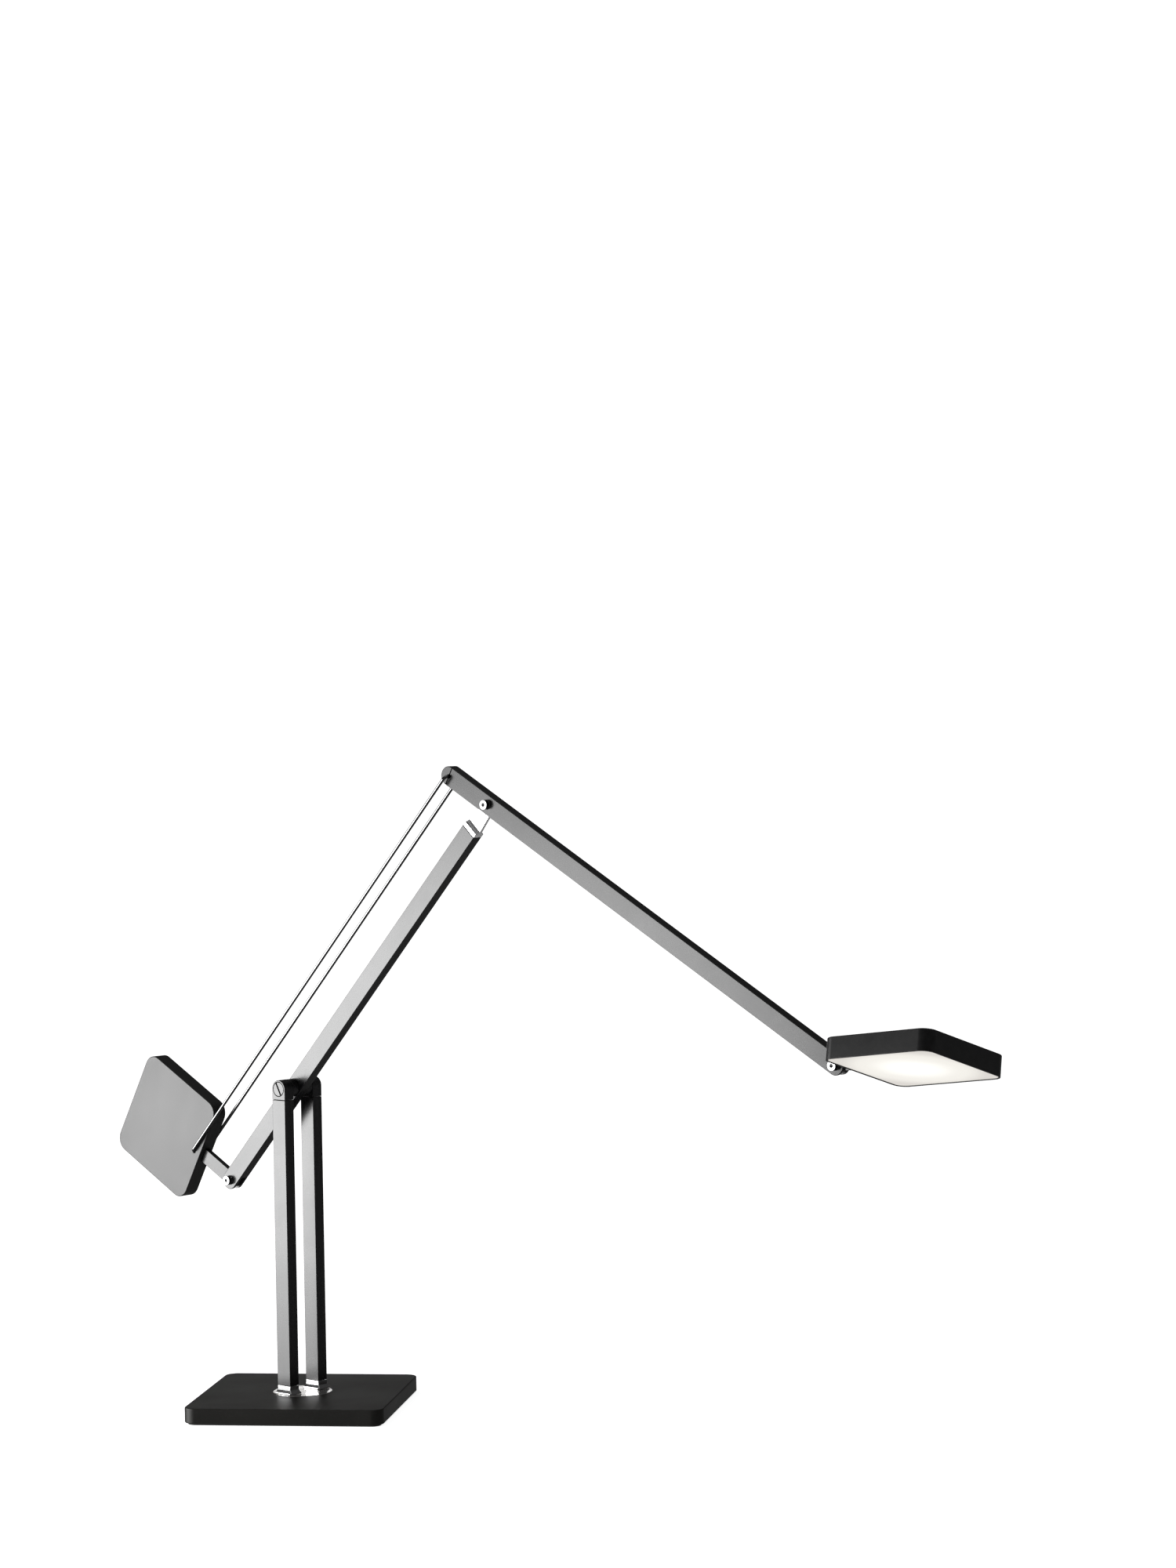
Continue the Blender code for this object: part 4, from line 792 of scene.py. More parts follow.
# %% [markdown]
# On the disc stand two square ferrules whose feet sweep out in a hollow curve.  A loft through rounded
# rectangles that shrink along a quarter circle gives that sweep.
# %% Post feet
FLARE = 1.9 * MM
SWEEP = 2.7 * MM
LIP = 0.9 * MM
FOOT_BREAK = 0.15 * MM
POST_EDGE = 0.6 * MM
SWEEP_STEPS = 12
post_size = {}
for word in ("near", "far"):
    post_low, post_high = span(f"{word}_post", post_place)
    post_size[word] = (post_low, post_high)
    foot_low = span(f"{word}_post_foot", post_place)[0].z
    foot_top = post_low.z - GAP
    middle = (0, (post_low.y + post_high.y) / 2)
    wide, deep = post_high.x - post_low.x, post_high.y - post_low.y
    sweep_levels = [(foot_low, FLARE - FOOT_BREAK), (foot_low + FOOT_BREAK, FLARE), (foot_low + LIP, FLARE)]
    for i in range(1, SWEEP_STEPS + 1):
        angle = math.pi / 2 * i / SWEEP_STEPS
        sweep_levels.append((foot_low + LIP + SWEEP * math.sin(angle), FLARE * (1 - math.sin(angle))))
    sweep_levels += [(foot_top - FOOT_BREAK, 0), (foot_top, -FOOT_BREAK)]
    rings = []
    for z, grow in sweep_levels:
        outline = rounded(wide + 2 * grow, deep + 2 * grow, POST_EDGE + max(grow, 0) * 0.5, middle, 6)
        rings.append([(x, y, z) for x, y in outline()])
    foot = solid(f"{word}_foot", rings)
    settled(foot, post_place, brushed_feet, "turntable", [f"{word}_post_foot"], sharp=60)

# %% [markdown]
# The posts are drawn rectangular tube with small round corners.  A plain box would miss the thin bright
# line that such a corner draws down the whole post.
# %% Posts
for word, (post_low, post_high) in post_size.items():
    middle = (0, (post_low.y + post_high.y) / 2)
    tube = rounded(post_high.x - post_low.x, post_high.y - post_low.y, POST_EDGE, middle, 5)
    post = solid(f"{word}_tube", stand(tube, eased(post_low.z, post_high.z, 0.4 * MM, 3)))
    settled(post, post_place, post_black, "turntable", [f"{word}_post"])

# %% [markdown]
# Each post ends in a cap with a round top about the axle.  A flush screw with a coin slot sits in a bore in
# the cap, with a fine dark ring round its head.  The collars keep the arm in the middle of the two caps.
# %% Post caps, axle screws and collars
CAP_EDGE = 0.55 * MM
SCREW_R = 6.3 * MM
SCREW_HEAD = 3 * MM
AXLE_R = 4 * MM
SLOT_TILT = math.radians(62)
for word, side in (("near", -1), ("far", 1)):
    post_low, post_high = post_size[word]
    half = post_high.x
    seam = post_high.z + GAP - axle.z

    def cap_outline(inset=0.0, half=half, seam=seam):
        size = half - inset
        foot_corner = seam + inset * 0.8
        return [(size, foot_corner)] + arc((0, 0), size, 0, 180, 40) + [(-size, foot_corner)]

    cap = solid(f"{word}_cap", lie(cap_outline, eased(post_low.y, post_high.y, CAP_EDGE, 4)))
    outer = post_high.y if side > 0 else post_low.y
    shaped(cap, pin(post_low.y - MM, post_high.y + MM, AXLE_R + GAP),
           pin(outer - side * (SCREW_HEAD + GAP), outer + side * MM, SCREW_R + 0.45 * MM, steps=72))
    settled(cap, hub_place, post_black, "turntable", [f"{word}_post_cap"], 0.12 * MM)

    screw = lathe(f"{word}_coin_screw", [
        (outer - side * 11 * MM, 2.5 * MM), (outer - side * SCREW_HEAD, 2.5 * MM),
        (outer - side * SCREW_HEAD, SCREW_R), (outer - side * 0.4 * MM, SCREW_R),
        (outer - side * 0.12 * MM, SCREW_R - 0.12 * MM), (outer, SCREW_R - 0.4 * MM)])
    slot = block((-SCREW_R - MM, -2 * MM, -0.8 * MM), (SCREW_R + MM, 2 * MM, 0.8 * MM))
    slot.data.transform(Matrix.Translation((0, outer, 0)) @ Matrix.Rotation(SLOT_TILT, 4, "Y"))
    shaped(screw, slot)
    settled(screw, hub_place, screw_black, "turntable", [f"{word}_axle_screw"], 0.12 * MM)

    collar_low, collar_high = span(f"{word}_spacer", hub_place)
    collar_r = collar_high.x
    collar = lathe(f"{word}_collar", [(y, collar_r - inset) for y, inset in
                                      eased(collar_low.y, collar_high.y, 0.5 * MM, 3)])
    shaped(collar, pin(collar_low.y - MM, collar_high.y + MM, AXLE_R + GAP))
    settled(collar, hub_place, plain_black, "turntable", [f"{word}_spacer"], 0.1 * MM)

# %% [markdown]
# ## The lower arm
# A rectangular tube with a forked, half-round end at the counterweight and a square cut end at the elbow.
# %% Lower arm tube
ARM_EDGE = 0.6 * MM
ARM_WALL = 1.5 * MM
FORK_SLOT, FORK_TALL = 5.8 * MM, 12 * MM
PIN_R = 2.5 * MM
AXLE_SLEEVE = 5.7 * MM
arm_low, arm_high = span("lower_arm_tube", lower_place)
arm_half, arm_r = arm_high.y, arm_high.z
fork_x = arm_low.x + arm_r


def fork_tools(x, towards, half):
    """What is cut out of a forked end: the slot between the ears and the hole for the pin."""
    slot_low, slot_high = sorted((x - towards * 11 * MM, x + towards * 12 * MM))
    return [block((slot_low, -FORK_SLOT / 2, -FORK_TALL), (slot_high, FORK_SLOT / 2, FORK_TALL)),
            pin(-half - MM, half + MM, PIN_R + GAP, at=(x, 0, 0))]


across_arm = eased(-arm_half, arm_half, ARM_EDGE)
lower = solid("lower_tube", lie(bar(fork_x, arm_high.x, arm_r, round_left=True), across_arm))
shaped(lower, *fork_tools(fork_x, -1, arm_half), pin(-arm_half - MM, arm_half + MM, AXLE_SLEEVE),
       block((arm_high.x - 40 * MM, ARM_WALL - arm_half, ARM_WALL - arm_r),
             (arm_high.x + MM, arm_half - ARM_WALL, arm_r - ARM_WALL)))
settled(lower, lower_place, lower_black, "lower_arm", ["lower_arm_tube"], 0.14 * MM)

# %% [markdown]
# The elbow block closes the tube's cut end.  It keeps the tube's section for a few millimetres, thins from
# both sides in a hollow sweep to a flat tongue, and the tongue carries the hinge inside the upper arm.  Its
# shape is a list of stations: how far along, how tall and how wide.
# %% Stations of the elbow block
BLOCK_LONG = 3.6 * MM
BLOCK_BREAK = 0.2 * MM
TONGUE_HALF = 1.6 * MM
TONGUE_END = 6.3 * MM
HOLLOW_STEPS, END_STEPS = 14, 16
block_foot = arm_high.x + GAP
sweep = arm_half - TONGUE_HALF
stations = [(block_foot, arm_r - BLOCK_BREAK, arm_half - BLOCK_BREAK), (block_foot + BLOCK_BREAK, arm_r, arm_half),
            (block_foot + BLOCK_LONG, arm_r, arm_half)]
for i in range(1, HOLLOW_STEPS + 1):
    angle = math.pi / 2 * i / HOLLOW_STEPS
    stations.append((block_foot + BLOCK_LONG + sweep * (1 - math.cos(angle)), arm_r,
                     arm_half - sweep * math.sin(angle)))
for i in range(END_STEPS + 1):
    angle = math.radians(-10 + 96 * i / END_STEPS)
    stations.append((rise + TONGUE_END * math.sin(angle), TONGUE_END * math.cos(angle), TONGUE_HALF))
print("elbow block has", len(stations), "stations")

# %% [markdown]
# A skin through those stations is the block.  A plug is joined to its foot, because on the real lamp it is
# held inside the tube's end.
# %% Elbow block
BLOCK_EDGE = 0.5 * MM
PLUG_WALL, PLUG_LONG = 1.8 * MM, 18 * MM
block_rings = []
for x, tall, wide in stations:
    corner = min(BLOCK_EDGE, wide * 0.4, tall * 0.4)
    block_rings.append([(x, y, z) for y, z in rounded(2 * wide, 2 * tall, corner, steps=4)()])
elbow_block = solid("elbow_block", block_rings)
shaped(elbow_block, pin(-6 * MM, 6 * MM, PIN_R + GAP, at=(rise, 0, 0)))
shaped(elbow_block, block((arm_high.x - PLUG_LONG, PLUG_WALL - arm_half, PLUG_WALL - arm_r),
                          (block_foot + MM, arm_half - PLUG_WALL, arm_r - PLUG_WALL)), operation="UNION")
settled(elbow_block, lower_place, brushed, "lower_arm", ["elbow_bracket"], sharp=50)

# %% [markdown]
# ## The upper arm
# The same tube again.  Its far end is a fork round the head's neck, and a slot in its underside lets the
# tongue of the elbow block in and leaves it room to swing.
# %% Upper arm tube
TONGUE_SLOT = TONGUE_HALF + 0.4 * MM
SLOT_REAR, SLOT_FRONT = -23 * MM, 9.5 * MM
HOLLOW_END = 12 * MM
ROD_HOLE = 2.0 * MM
up_low = span("upper_arm_tube", upper_place)[0]
rods_x = -(rod_hinge - elbow).length
upper = solid("upper_tube", lie(bar(up_low.x, reach, arm_r, round_right=True), across_arm))
shaped(upper, *fork_tools(reach, 1, arm_half),
       block((SLOT_REAR, -TONGUE_SLOT, -arm_r - MM), (SLOT_FRONT, TONGUE_SLOT, 0)),
       block((up_low.x - MM, ARM_WALL - arm_half, ARM_WALL - arm_r),
             (HOLLOW_END, arm_half - ARM_WALL, arm_r - ARM_WALL)),
       pin(-arm_half - MM, arm_half + MM, PIN_R + GAP),
       pin(-arm_half - MM, arm_half + MM, ROD_HOLE, at=(rods_x, 0, 0)))
settled(upper, upper_place, upper_black, "upper_arm", ["upper_arm_tube"], 0.14 * MM)

# %% [markdown]
# A separate half-round cap closes its rear end, and the seam between the two runs exactly through the hole for
# the tie rods.  The hole is drilled again once the plug is on, because the plug would fill it.
# %% Rear cap
REAR_PLUG = 12 * MM
cap_flat = up_low.x - GAP
rear = solid("rear_cap", lie(bar(cap_flat - 1.3 * ARM_EDGE, cap_flat, arm_r, round_left=True), across_arm))
shaped(rear, pin(-arm_half - MM, arm_half + MM, ROD_HOLE, at=(rods_x, 0, 0)))
shaped(rear, block((cap_flat - MM, PLUG_WALL - arm_half, PLUG_WALL - arm_r),
                   (cap_flat + REAR_PLUG, arm_half - PLUG_WALL, arm_r - PLUG_WALL)), operation="UNION")
shaped(rear, pin(-arm_half - MM, arm_half + MM, ROD_HOLE, at=(rods_x, 0, 0)))
settled(rear, upper_place, upper_black, "upper_arm", ["rear_end_cap"], 0.14 * MM)

# %% [markdown]
# ## Counterweight
# A thick square plate with generous corners.  The flat stub that carries it is let into its edge, and two
# holes in its broad faces take the hooks of the tie rods.
# %% Counterweight plate
WEIGHT_CORNER, WEIGHT_RIM = 12 * MM, 0.8 * MM
POCKET_LONG = 24 * MM
HOOK_HOLE, HOOK_FLOOR = 2.2 * MM, 3.7 * MM
SUNK_R, SUNK_DEEP, SHANK_HOLE = 3.1 * MM, 2.3 * MM, 1.8 * MM
SCREW_SPREAD = 3.6 * MM
plate_low, plate_high = span("counterweight_plate", weight_place)
stub_low, stub_high = span("counterweight_stub", weight_place)
weight_middle = ((plate_low.x + plate_high.x) / 2, 0)
weight_side = plate_high.x - plate_low.x
weight_half = plate_high.y
weight = solid("weight_plate", lie(rounded(weight_side, weight_side, WEIGHT_CORNER, weight_middle, 16),
                                   eased(-weight_half, weight_half, WEIGHT_RIM, 5)))
stub_half, stub_r = stub_high.y, stub_high.z
screw_x = plate_high.x - 18 * MM
tools = [block((plate_high.x - POCKET_LONG, -stub_half - GAP, -stub_r - GAP),
               (plate_high.x + MM, stub_half + GAP, stub_r + GAP))]
for side in (-1, 1):
    hook_low, hook_high = sorted((side * (weight_half + MM), side * HOOK_FLOOR))
    tools.append(pin(hook_low, hook_high, HOOK_HOLE, at=(rods_x, 0, 0)))
for z in (-SCREW_SPREAD, SCREW_SPREAD):
    tools.append(pin(0, weight_half + MM, SHANK_HOLE, at=(screw_x, 0, z)))
    tools.append(pin(weight_half - SUNK_DEEP, weight_half + MM, SUNK_R, at=(screw_x, 0, z)))
shaped(weight, *tools)
settled(weight, weight_place, weight_coat, "counterweight", ["counterweight_plate"],
        0.2 * MM)

# %% [markdown]
# The stub is a flat bar with a round end about its hinge.
# %% Counterweight stub
STUB_EDGE = 0.45 * MM
stub = solid("weight_stub", lie(bar(stub_low.x, 0, stub_r, round_right=True),
                                eased(-stub_half, stub_half, STUB_EDGE, 3)))
shaped(stub, pin(-6 * MM, 6 * MM, PIN_R + GAP))
settled(stub, weight_place, stub_black, "counterweight", ["counterweight_stub"], 0.12 * MM)

# %% [markdown]
# ## Tie rods
# Each rod is one length of wire whose two ends are bent in at a right angle.  That is a rule: four points,
# rounded corners, a round section.  A small Geometry Nodes tree follows it.  Two helpers come first: one
# starts a tree with named inputs, one runs it on a few points and keeps the plain mesh.
# %% Helpers for growing shapes
GEOMETRY = "NodeSocketGeometry"


def grower(name, takes):
    """An empty Geometry Nodes tree with named inputs, its input node and its output node."""
    tree = bpy.data.node_groups.new(name, "GeometryNodeTree")
    tree.interface.new_socket("Geometry", in_out="INPUT", socket_type=GEOMETRY)
    for label, kind, value in takes:
        socket = tree.interface.new_socket(label, in_out="INPUT", socket_type="NodeSocket" + kind)
        if value is not None:
            socket.default_value = value
    tree.interface.new_socket("Geometry", in_out="OUTPUT", socket_type=GEOMETRY)
    return tree, add(tree, "NodeGroupInput"), add(tree, "NodeGroupOutput")


def grown(name, tree, corners, lines, values):
    """Run a tree on a few corner points, and keep the result as a plain mesh."""
    mesh = bpy.data.meshes.new(name)
    mesh.from_pydata(corners, lines, [])
    holder = bpy.data.objects.new(name, mesh)
    bpy.context.scene.collection.objects.link(holder)
    grow = holder.modifiers.new(tree.name, "NODES")
    grow.node_group = tree
    for item in tree.interface.items_tree:
        if item.in_out == "INPUT" and item.name in values:
            grow[item.identifier] = values[item.name]
    return baked(holder)


print("growing helpers ready")

# %% [markdown]
# The tree turns the points into a line, rounds its corners, and sweeps a circle along it.
# %% A tree for bent rods
rod_tree, rod_in, rod_out = grower("bent_rod", [
    ("Rod Radius", "Float", 1.5 * MM), ("Bend Radius", "Float", 3.5 * MM), ("Bend Steps", "Int", 10),
    ("Sides", "Int", 24), ("Finish", "Material", None)])
line = add(rod_tree, "GeometryNodeMeshToCurve")
bends = add(rod_tree, "GeometryNodeFilletCurve", mode="POLY")
section = add(rod_tree, "GeometryNodeCurvePrimitiveCircle")
sweep_node = add(rod_tree, "GeometryNodeCurveToMesh")
sweep_node.inputs["Fill Caps"].default_value = True
smooth = add(rod_tree, "GeometryNodeSetShadeSmooth")
real = add(rod_tree, "GeometryNodeRealizeInstances")
coat = add(rod_tree, "GeometryNodeSetMaterial")
for source, target in (
        (rod_in.outputs["Geometry"], line.inputs[0]), (line.outputs[0], bends.inputs["Curve"]),
        (rod_in.outputs["Bend Radius"], bends.inputs["Radius"]),
        (rod_in.outputs["Bend Steps"], bends.inputs["Count"]),
        (rod_in.outputs["Rod Radius"], section.inputs["Radius"]),
        (rod_in.outputs["Sides"], section.inputs["Resolution"]),
        (bends.outputs[0], sweep_node.inputs["Curve"]), (section.outputs[0], sweep_node.inputs["Profile Curve"]),
        (sweep_node.outputs[0], smooth.inputs[0]), (smooth.outputs[0], real.inputs[0]),
        (real.outputs[0], coat.inputs[0]), (rod_in.outputs["Finish"], coat.inputs["Material"]),
        (coat.outputs[0], rod_out.inputs[0])):
    rod_tree.links.new(source, target)
print("rod tree has", len(rod_tree.nodes), "nodes")

# %% [markdown]
# Each rod is grown from its four corner points: a hook in the upper arm, the long run beside it, and a hook
# in the counterweight.
# %% Tie rods in their places
UPPER_HOOK, LOWER_HOOK = 1.2 * MM, 4.4 * MM    # how near the hooks' ends come to the middle
for word, side in (("near", -1), ("far", 1)):
    rod_low, rod_high = span(f"{word}_tie_rod", rod_place)
    rod_r = rod_high.z
    outer = side * (max(abs(rod_low.y), abs(rod_high.y)) - rod_r)
    length = -rod_low.x - rod_r
    corners = [(0, side * UPPER_HOOK, 0), (0, outer, 0), (-length, outer, 0), (-length, side * LOWER_HOOK, 0)]
    rod = grown(f"{word}_rod", rod_tree, corners, [(0, 1), (1, 2), (2, 3)], {
        "Rod Radius": rod_r, "Bend Radius": 3.5 * MM, "Bend Steps": 10, "Sides": 24, "Finish": rod_steel})
    settled(rod, rod_place, rod_steel, "tie_rods", [f"{word}_tie_rod"])

# %% [markdown]
# ## Pivots and screws
# The lamp has three equal pivots: a round head with a hex socket and a thin flange on each side, and a pin
# between.  The counterweight has two sunk screws.  Screws repeat, so both kinds come from trees that put one
# finished shape on every point.
# %% Helpers for pivots and screws
def drum(tree, radius, depth, height, sides=56):
    """A cylinder node whose middle is lifted to a height; sizes are sockets."""
    made = add(tree, "GeometryNodeMeshCylinder", fill_type="NGON")
    made.inputs["Vertices"].default_value = sides
    tree.links.new(radius, made.inputs["Radius"])
    tree.links.new(depth, made.inputs["Depth"])
    lift = add(tree, "ShaderNodeCombineXYZ")
    tree.links.new(height, lift.inputs["Z"])
    moved = add(tree, "GeometryNodeTransform")
    tree.links.new(made.outputs["Mesh"], moved.inputs["Geometry"])
    tree.links.new(lift.outputs[0], moved.inputs["Translation"])
    return moved.outputs[0]


def carved(tree, operation, first, *others):
    """An exact Boolean node: others are joined to the first, or cut out of it."""
    made = add(tree, "GeometryNodeMeshBoolean", operation=operation, solver="EXACT")
    target = made.inputs["Mesh 1"] if operation == "DIFFERENCE" else made.inputs["Mesh 2"]
    tree.links.new(first, target)
    for other in others:
        tree.links.new(other, made.inputs["Mesh 2"])
    return made.outputs[0]


def on_every_point(tree, tree_in, tree_out, shape, turn):
    """Put the shape on each point, turned, then make it real and give it its material."""
    copies = add(tree, "GeometryNodeInstanceOnPoints")
    copies.inputs["Rotation"].default_value = turn
    made_real = add(tree, "GeometryNodeRealizeInstances")
    smoothed = add(tree, "GeometryNodeSetShadeSmooth")
    painted = add(tree, "GeometryNodeSetMaterial")
    tree.links.new(tree_in.outputs["Geometry"], copies.inputs["Points"])
    tree.links.new(shape, copies.inputs["Instance"])
    tree.links.new(copies.outputs[0], smoothed.inputs[0])
    tree.links.new(smoothed.outputs[0], made_real.inputs[0])
    tree.links.new(made_real.outputs[0], painted.inputs[0])
    tree.links.new(tree_in.outputs["Finish"], painted.inputs["Material"])
    tree.links.new(painted.outputs[0], tree_out.inputs[0])


print("pivot helpers ready")

# %% [markdown]
# One side of a pivot is a head on its flange, less a hex hole.  The other side is the same, turned over, and
# a pin as long as the grip joins the two.
# %% A tree for hinge pivots
pivot_tree, pivot_in, pivot_out = grower("hinge_pivot", [
    ("Grip", "Float", 10 * MM), ("Head Radius", "Float", 4.1 * MM), ("Head Height", "Float", 4.5 * MM),
    ("Flange Radius", "Float", 4.3 * MM), ("Flange Height", "Float", 0.4 * MM),
    ("Socket Radius", "Float", 1.65 * MM), ("Socket Depth", "Float", 3.0 * MM), ("Pin Radius", "Float", PIN_R),
    ("Finish", "Material", None)])
take = pivot_in.outputs
face = arithmetic(pivot_tree, "ADD", arithmetic(pivot_tree, "MULTIPLY", take["Grip"], 0.5), GAP)
flange_mid = arithmetic(pivot_tree, "ADD", face, arithmetic(pivot_tree, "MULTIPLY", take["Flange Height"], 0.5))
head_rise = arithmetic(pivot_tree, "SUBTRACT", take["Head Height"], GAP)
head_mid = arithmetic(pivot_tree, "ADD", face, arithmetic(pivot_tree, "MULTIPLY", head_rise, 0.5))
head_front = arithmetic(pivot_tree, "ADD", face, head_rise)
flange = drum(pivot_tree, take["Flange Radius"], take["Flange Height"], flange_mid)
button = drum(pivot_tree, take["Head Radius"], head_rise, head_mid)
hex_depth = arithmetic(pivot_tree, "MULTIPLY", take["Socket Depth"], 2)
hex_hole = drum(pivot_tree, take["Socket Radius"], hex_depth, head_front, 6)
one_side = carved(pivot_tree, "DIFFERENCE", carved(pivot_tree, "UNION", flange, button), hex_hole)
other_side = add(pivot_tree, "GeometryNodeTransform")
other_side.inputs["Rotation"].default_value = (math.pi, 0, 0)
pivot_tree.links.new(one_side, other_side.inputs["Geometry"])
centre = add(pivot_tree, "ShaderNodeValue")
centre.outputs[0].default_value = 0
shank_long = arithmetic(pivot_tree, "MULTIPLY", flange_mid, 2)
shank = drum(pivot_tree, take["Pin Radius"], shank_long, centre.outputs[0], 40)
whole = carved(pivot_tree, "UNION", one_side, other_side.outputs[0], shank)
on_every_point(pivot_tree, pivot_in, pivot_out, whole, (math.pi / 2, 0, 0))
print("pivot tree has", len(pivot_tree.nodes), "nodes")

# %% [markdown]
# A sunk screw is simpler: a head, a shaft below it and a hex hole in its face, which lies on the point.
# %% A tree for sunk screws
screw_tree, screw_in, screw_out = grower("sunk_screw", [
    ("Head Radius", "Float", 2.8 * MM), ("Head Height", "Float", 1.8 * MM), ("Shank Radius", "Float", 1.5 * MM),
    ("Shank Length", "Float", 6.7 * MM), ("Socket Radius", "Float", 1.2 * MM), ("Finish", "Material", None)])
take = screw_in.outputs
head = drum(screw_tree, take["Head Radius"], take["Head Height"],
            arithmetic(screw_tree, "MULTIPLY", take["Head Height"], -0.5), 40)
screw_long = arithmetic(screw_tree, "ADD", take["Head Height"], take["Shank Length"])
shaft_mid = arithmetic(screw_tree, "MULTIPLY", screw_long, -0.5)
shaft = drum(screw_tree, take["Shank Radius"], arithmetic(screw_tree, "MULTIPLY", shaft_mid, -2), shaft_mid, 24)
face_level = add(screw_tree, "ShaderNodeValue")
face_level.outputs[0].default_value = 0
key_hole = drum(screw_tree, take["Socket Radius"], take["Head Height"], face_level.outputs[0], 6)
one_screw = carved(screw_tree, "DIFFERENCE", carved(screw_tree, "UNION", head, shaft), key_hole)
on_every_point(screw_tree, screw_in, screw_out, one_screw, (-math.pi / 2, 0, 0))
print("screw tree has", len(screw_tree.nodes), "nodes")

# %% [markdown]
# Each tree runs once for each body: one pivot on the lower arm, two on the upper arm, two screws in the
# counterweight.
# %% Pivots and screws in their places
SCREW_SUNK = 0.2 * MM
lower_pivot = grown("lower_pivot", pivot_tree, [(fork_x, 0, 0)], [], {"Grip": 2 * arm_half, "Finish": polished})
settled(lower_pivot, lower_place, polished, "lower_arm", ["counterweight_pivot_screw", "counterweight_pivot_nut"],
        0.2 * MM, 2)
upper_pivots = grown("upper_pivots", pivot_tree, [(0, 0, 0), (reach, 0, 0)], [],
                     {"Grip": 2 * arm_half, "Finish": polished})
settled(upper_pivots, upper_place, polished, "upper_arm",
        ["elbow_screw", "elbow_nut", "head_pivot_screw", "head_pivot_nut"], 0.2 * MM, 2)
stub_screws = grown("stub_screws", screw_tree,
                    [(screw_x, weight_half - SCREW_SUNK, z) for z in (-SCREW_SPREAD, SCREW_SPREAD)], [],
                    {"Finish": plain_steel})
settled(stub_screws, weight_place, plain_steel, "counterweight", ["stub_screw_1", "stub_screw_2"],
        0.15 * MM)

# %% [markdown]
# ## Neck and head
# The neck is a flat tongue in the arm's fork that becomes a round collar; the head turns on its shaft.
# %% Neck
NECK_R, NECK_HALF, NECK_EDGE, NECK_FLAT = 5 * MM, 2.6 * MM, 0.35 * MM, 12.5 * MM
COLLAR_R, SHAFT_R = 5.4 * MM, 4 * MM
neck_end = span("head_neck", neck_place)[1].x
head_edge = neck_long - span("head_shell", head_place)[1].x
neck = solid("neck", lie(bar(0, NECK_FLAT, NECK_R, round_left=True), eased(-NECK_HALF, NECK_HALF, NECK_EDGE, 3)))
shaped(neck, lathe("tool", [(11.5 * MM, 4.7 * MM), (12.1 * MM, COLLAR_R), (head_edge - 1.2 * MM, COLLAR_R),
                            (head_edge - 0.6 * MM, 4.8 * MM)], "X"),
       pin(12 * MM, neck_end, SHAFT_R, "X"), operation="UNION")
shaped(neck, pin(-6 * MM, 6 * MM, PIN_R + GAP))
settled(neck, neck_place, plain_black, "head_neck", ["head_neck"], 0.15 * MM)

# %% [markdown]
# The head is a shallow square box, open below, milled from one piece.  It is one loft that runs over the
# outer wall, round the rim and back up the inner wall, so the wall has a real thickness where it shows.
# %% Head case
HEAD_CORNER = 10 * MM
HEAD_WALL = 1.5 * MM
HEAD_ROOF = 2 * MM
HEAD_EDGE, RIM = 0.8 * MM, 0.3 * MM
SHAFT_HOLE = 4.3 * MM
shell_low, shell_high = span("head_shell", head_place)
head_side = shell_high.x - shell_low.x
inner_side = head_side - 2 * HEAD_WALL
outer_wall = rounded(head_side, head_side, HEAD_CORNER, steps=16)
inner_wall = rounded(inner_side, inner_side, HEAD_CORNER - HEAD_WALL, steps=16)
top_down = list(reversed(eased(shell_low.z, shell_high.z, HEAD_EDGE, 5)))
wall_rings = stand(outer_wall, top_down[:6])
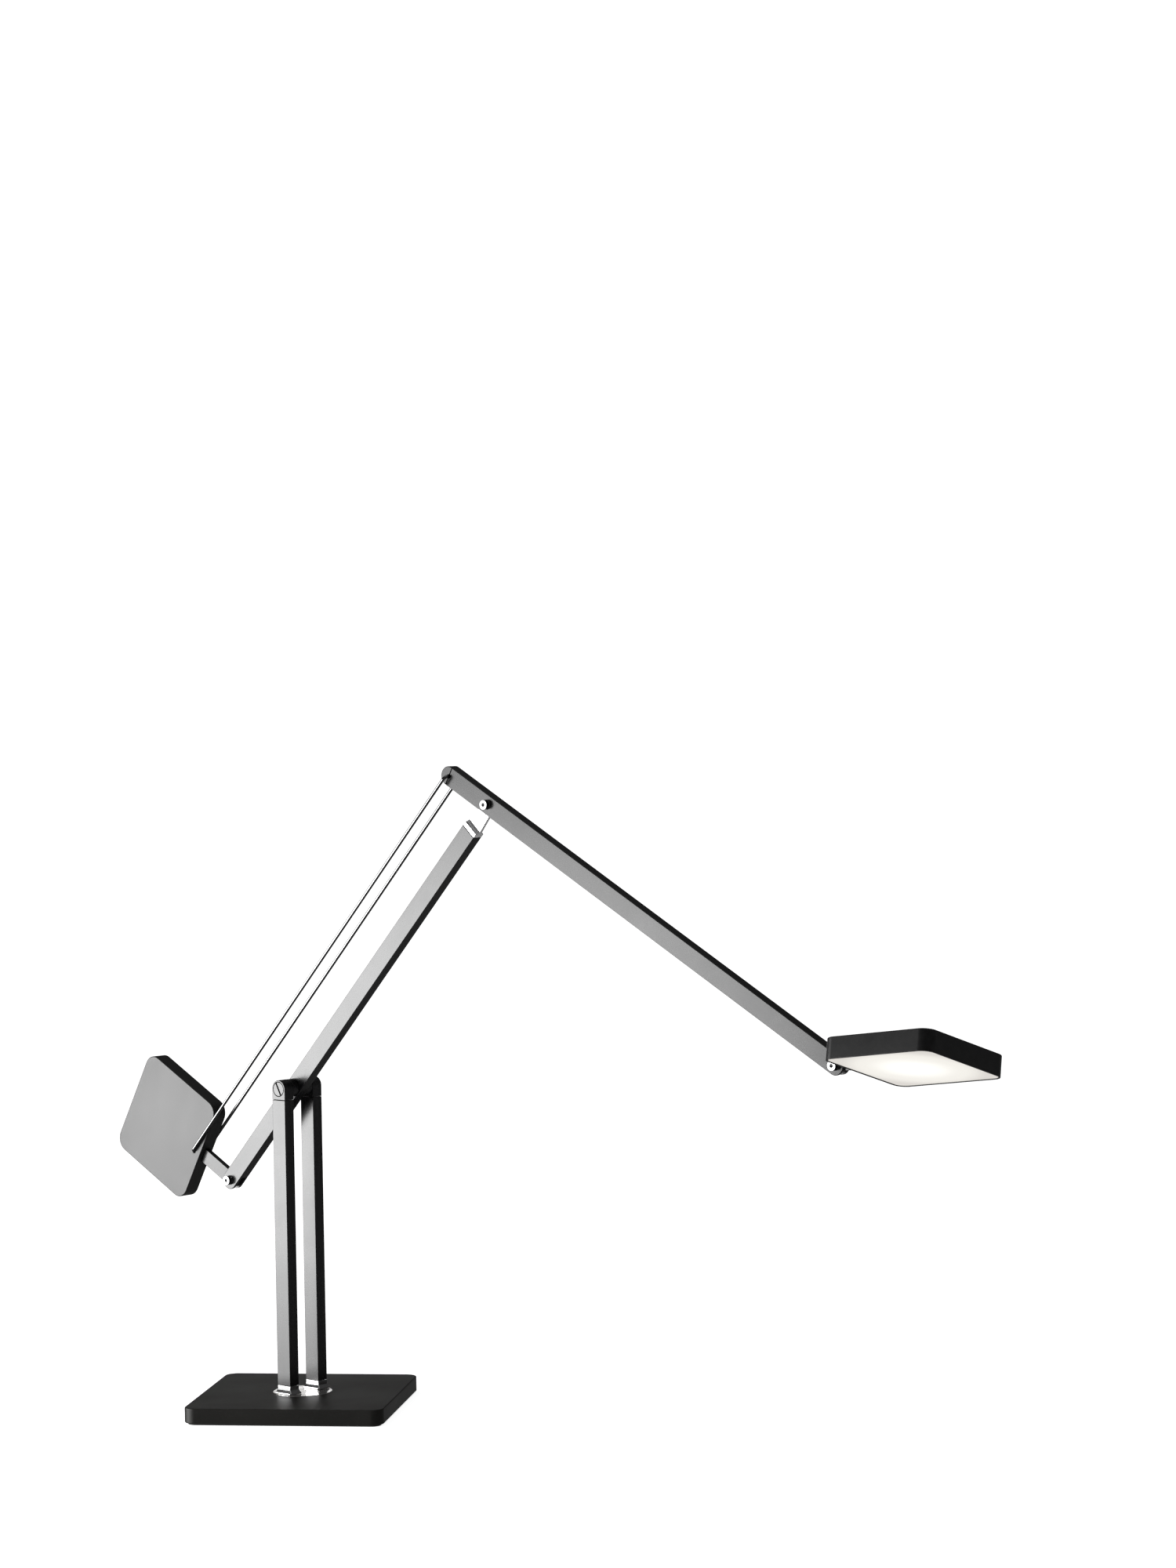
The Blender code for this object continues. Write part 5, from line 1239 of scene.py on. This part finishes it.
wall_rings += stand(outer_wall, [(shell_low.z + RIM, 0), (shell_low.z + RIM * 0.3, RIM * 0.3), (shell_low.z, RIM)])
wall_rings += stand(inner_wall, [(shell_low.z, -RIM), (shell_low.z + RIM, 0), (shell_high.z - HEAD_ROOF, 0)])
case = solid("head_case", wall_rings)
shaped(case, pin(shell_low.x - MM, shell_low.x + 4 * MM, SHAFT_HOLE, "X"))
settled(case, head_place, head_black, "head", ["head_shell"], 0.12 * MM, sharp=50)

# %% [markdown]
# The opal panel lies just inside the rim.  Its UV map is laid flat over the panel, so that the glow can fade
# from its middle whatever way the head is turned.
# %% Opal panel
PANEL_EDGE = 0.35 * MM
glass_low, glass_high = span("diffuser", head_place)
glass_side = glass_high.x - glass_low.x
glass = solid("opal_panel", stand(rounded(glass_side, glass_side, HEAD_CORNER - HEAD_WALL - GAP, steps=16),
                                  eased(glass_low.z, glass_high.z, PANEL_EDGE, 3)))
sheet_uv = glass.data.uv_layers.new(name="panel")
for loop in glass.data.loops:
    corner_spot = glass.data.vertices[loop.vertex_index].co
    sheet_uv.data[loop.index].uv = (corner_spot.x / glass_side + 0.5, corner_spot.y / glass_side + 0.5)
settled(glass, head_place, opal, "head", ["diffuser"])

# %% [markdown]
# ## Parts that stay as they are
# Bushes, shafts, washers and the lighting stack are hidden inside or plain by nature.  Their CAD shapes are
# right, so they only get their finish.
# %% Finishes for the parts that stay
kept_finish = {
    pad_rubber: ["foot_pad"],
    bronze: ["swivel_bush", "arm_bush"],
    plain_steel: ["swivel_shaft", "swivel_nut", "pivot_axle", "swivel_block", "neck_clip",
                  "foot_screw_1", "foot_screw_2", "foot_screw_3", "foot_screw_4",
                  "board_screw_1", "board_screw_2", "board_screw_3", "board_screw_4"],
    white_plastic: ["elbow_washer_1", "elbow_washer_2", "light_box"],
    board_white: ["led_board"],
    bare_aluminium: ["heat_spreader"],
}
for finish, names in kept_finish.items():
    for name in names:
        for material_slot in cad_nodes[name].material_slots:
            material_slot.material = finish
print("parts that stay, with a finish:", sum(len(names) for names in kept_finish.values()))
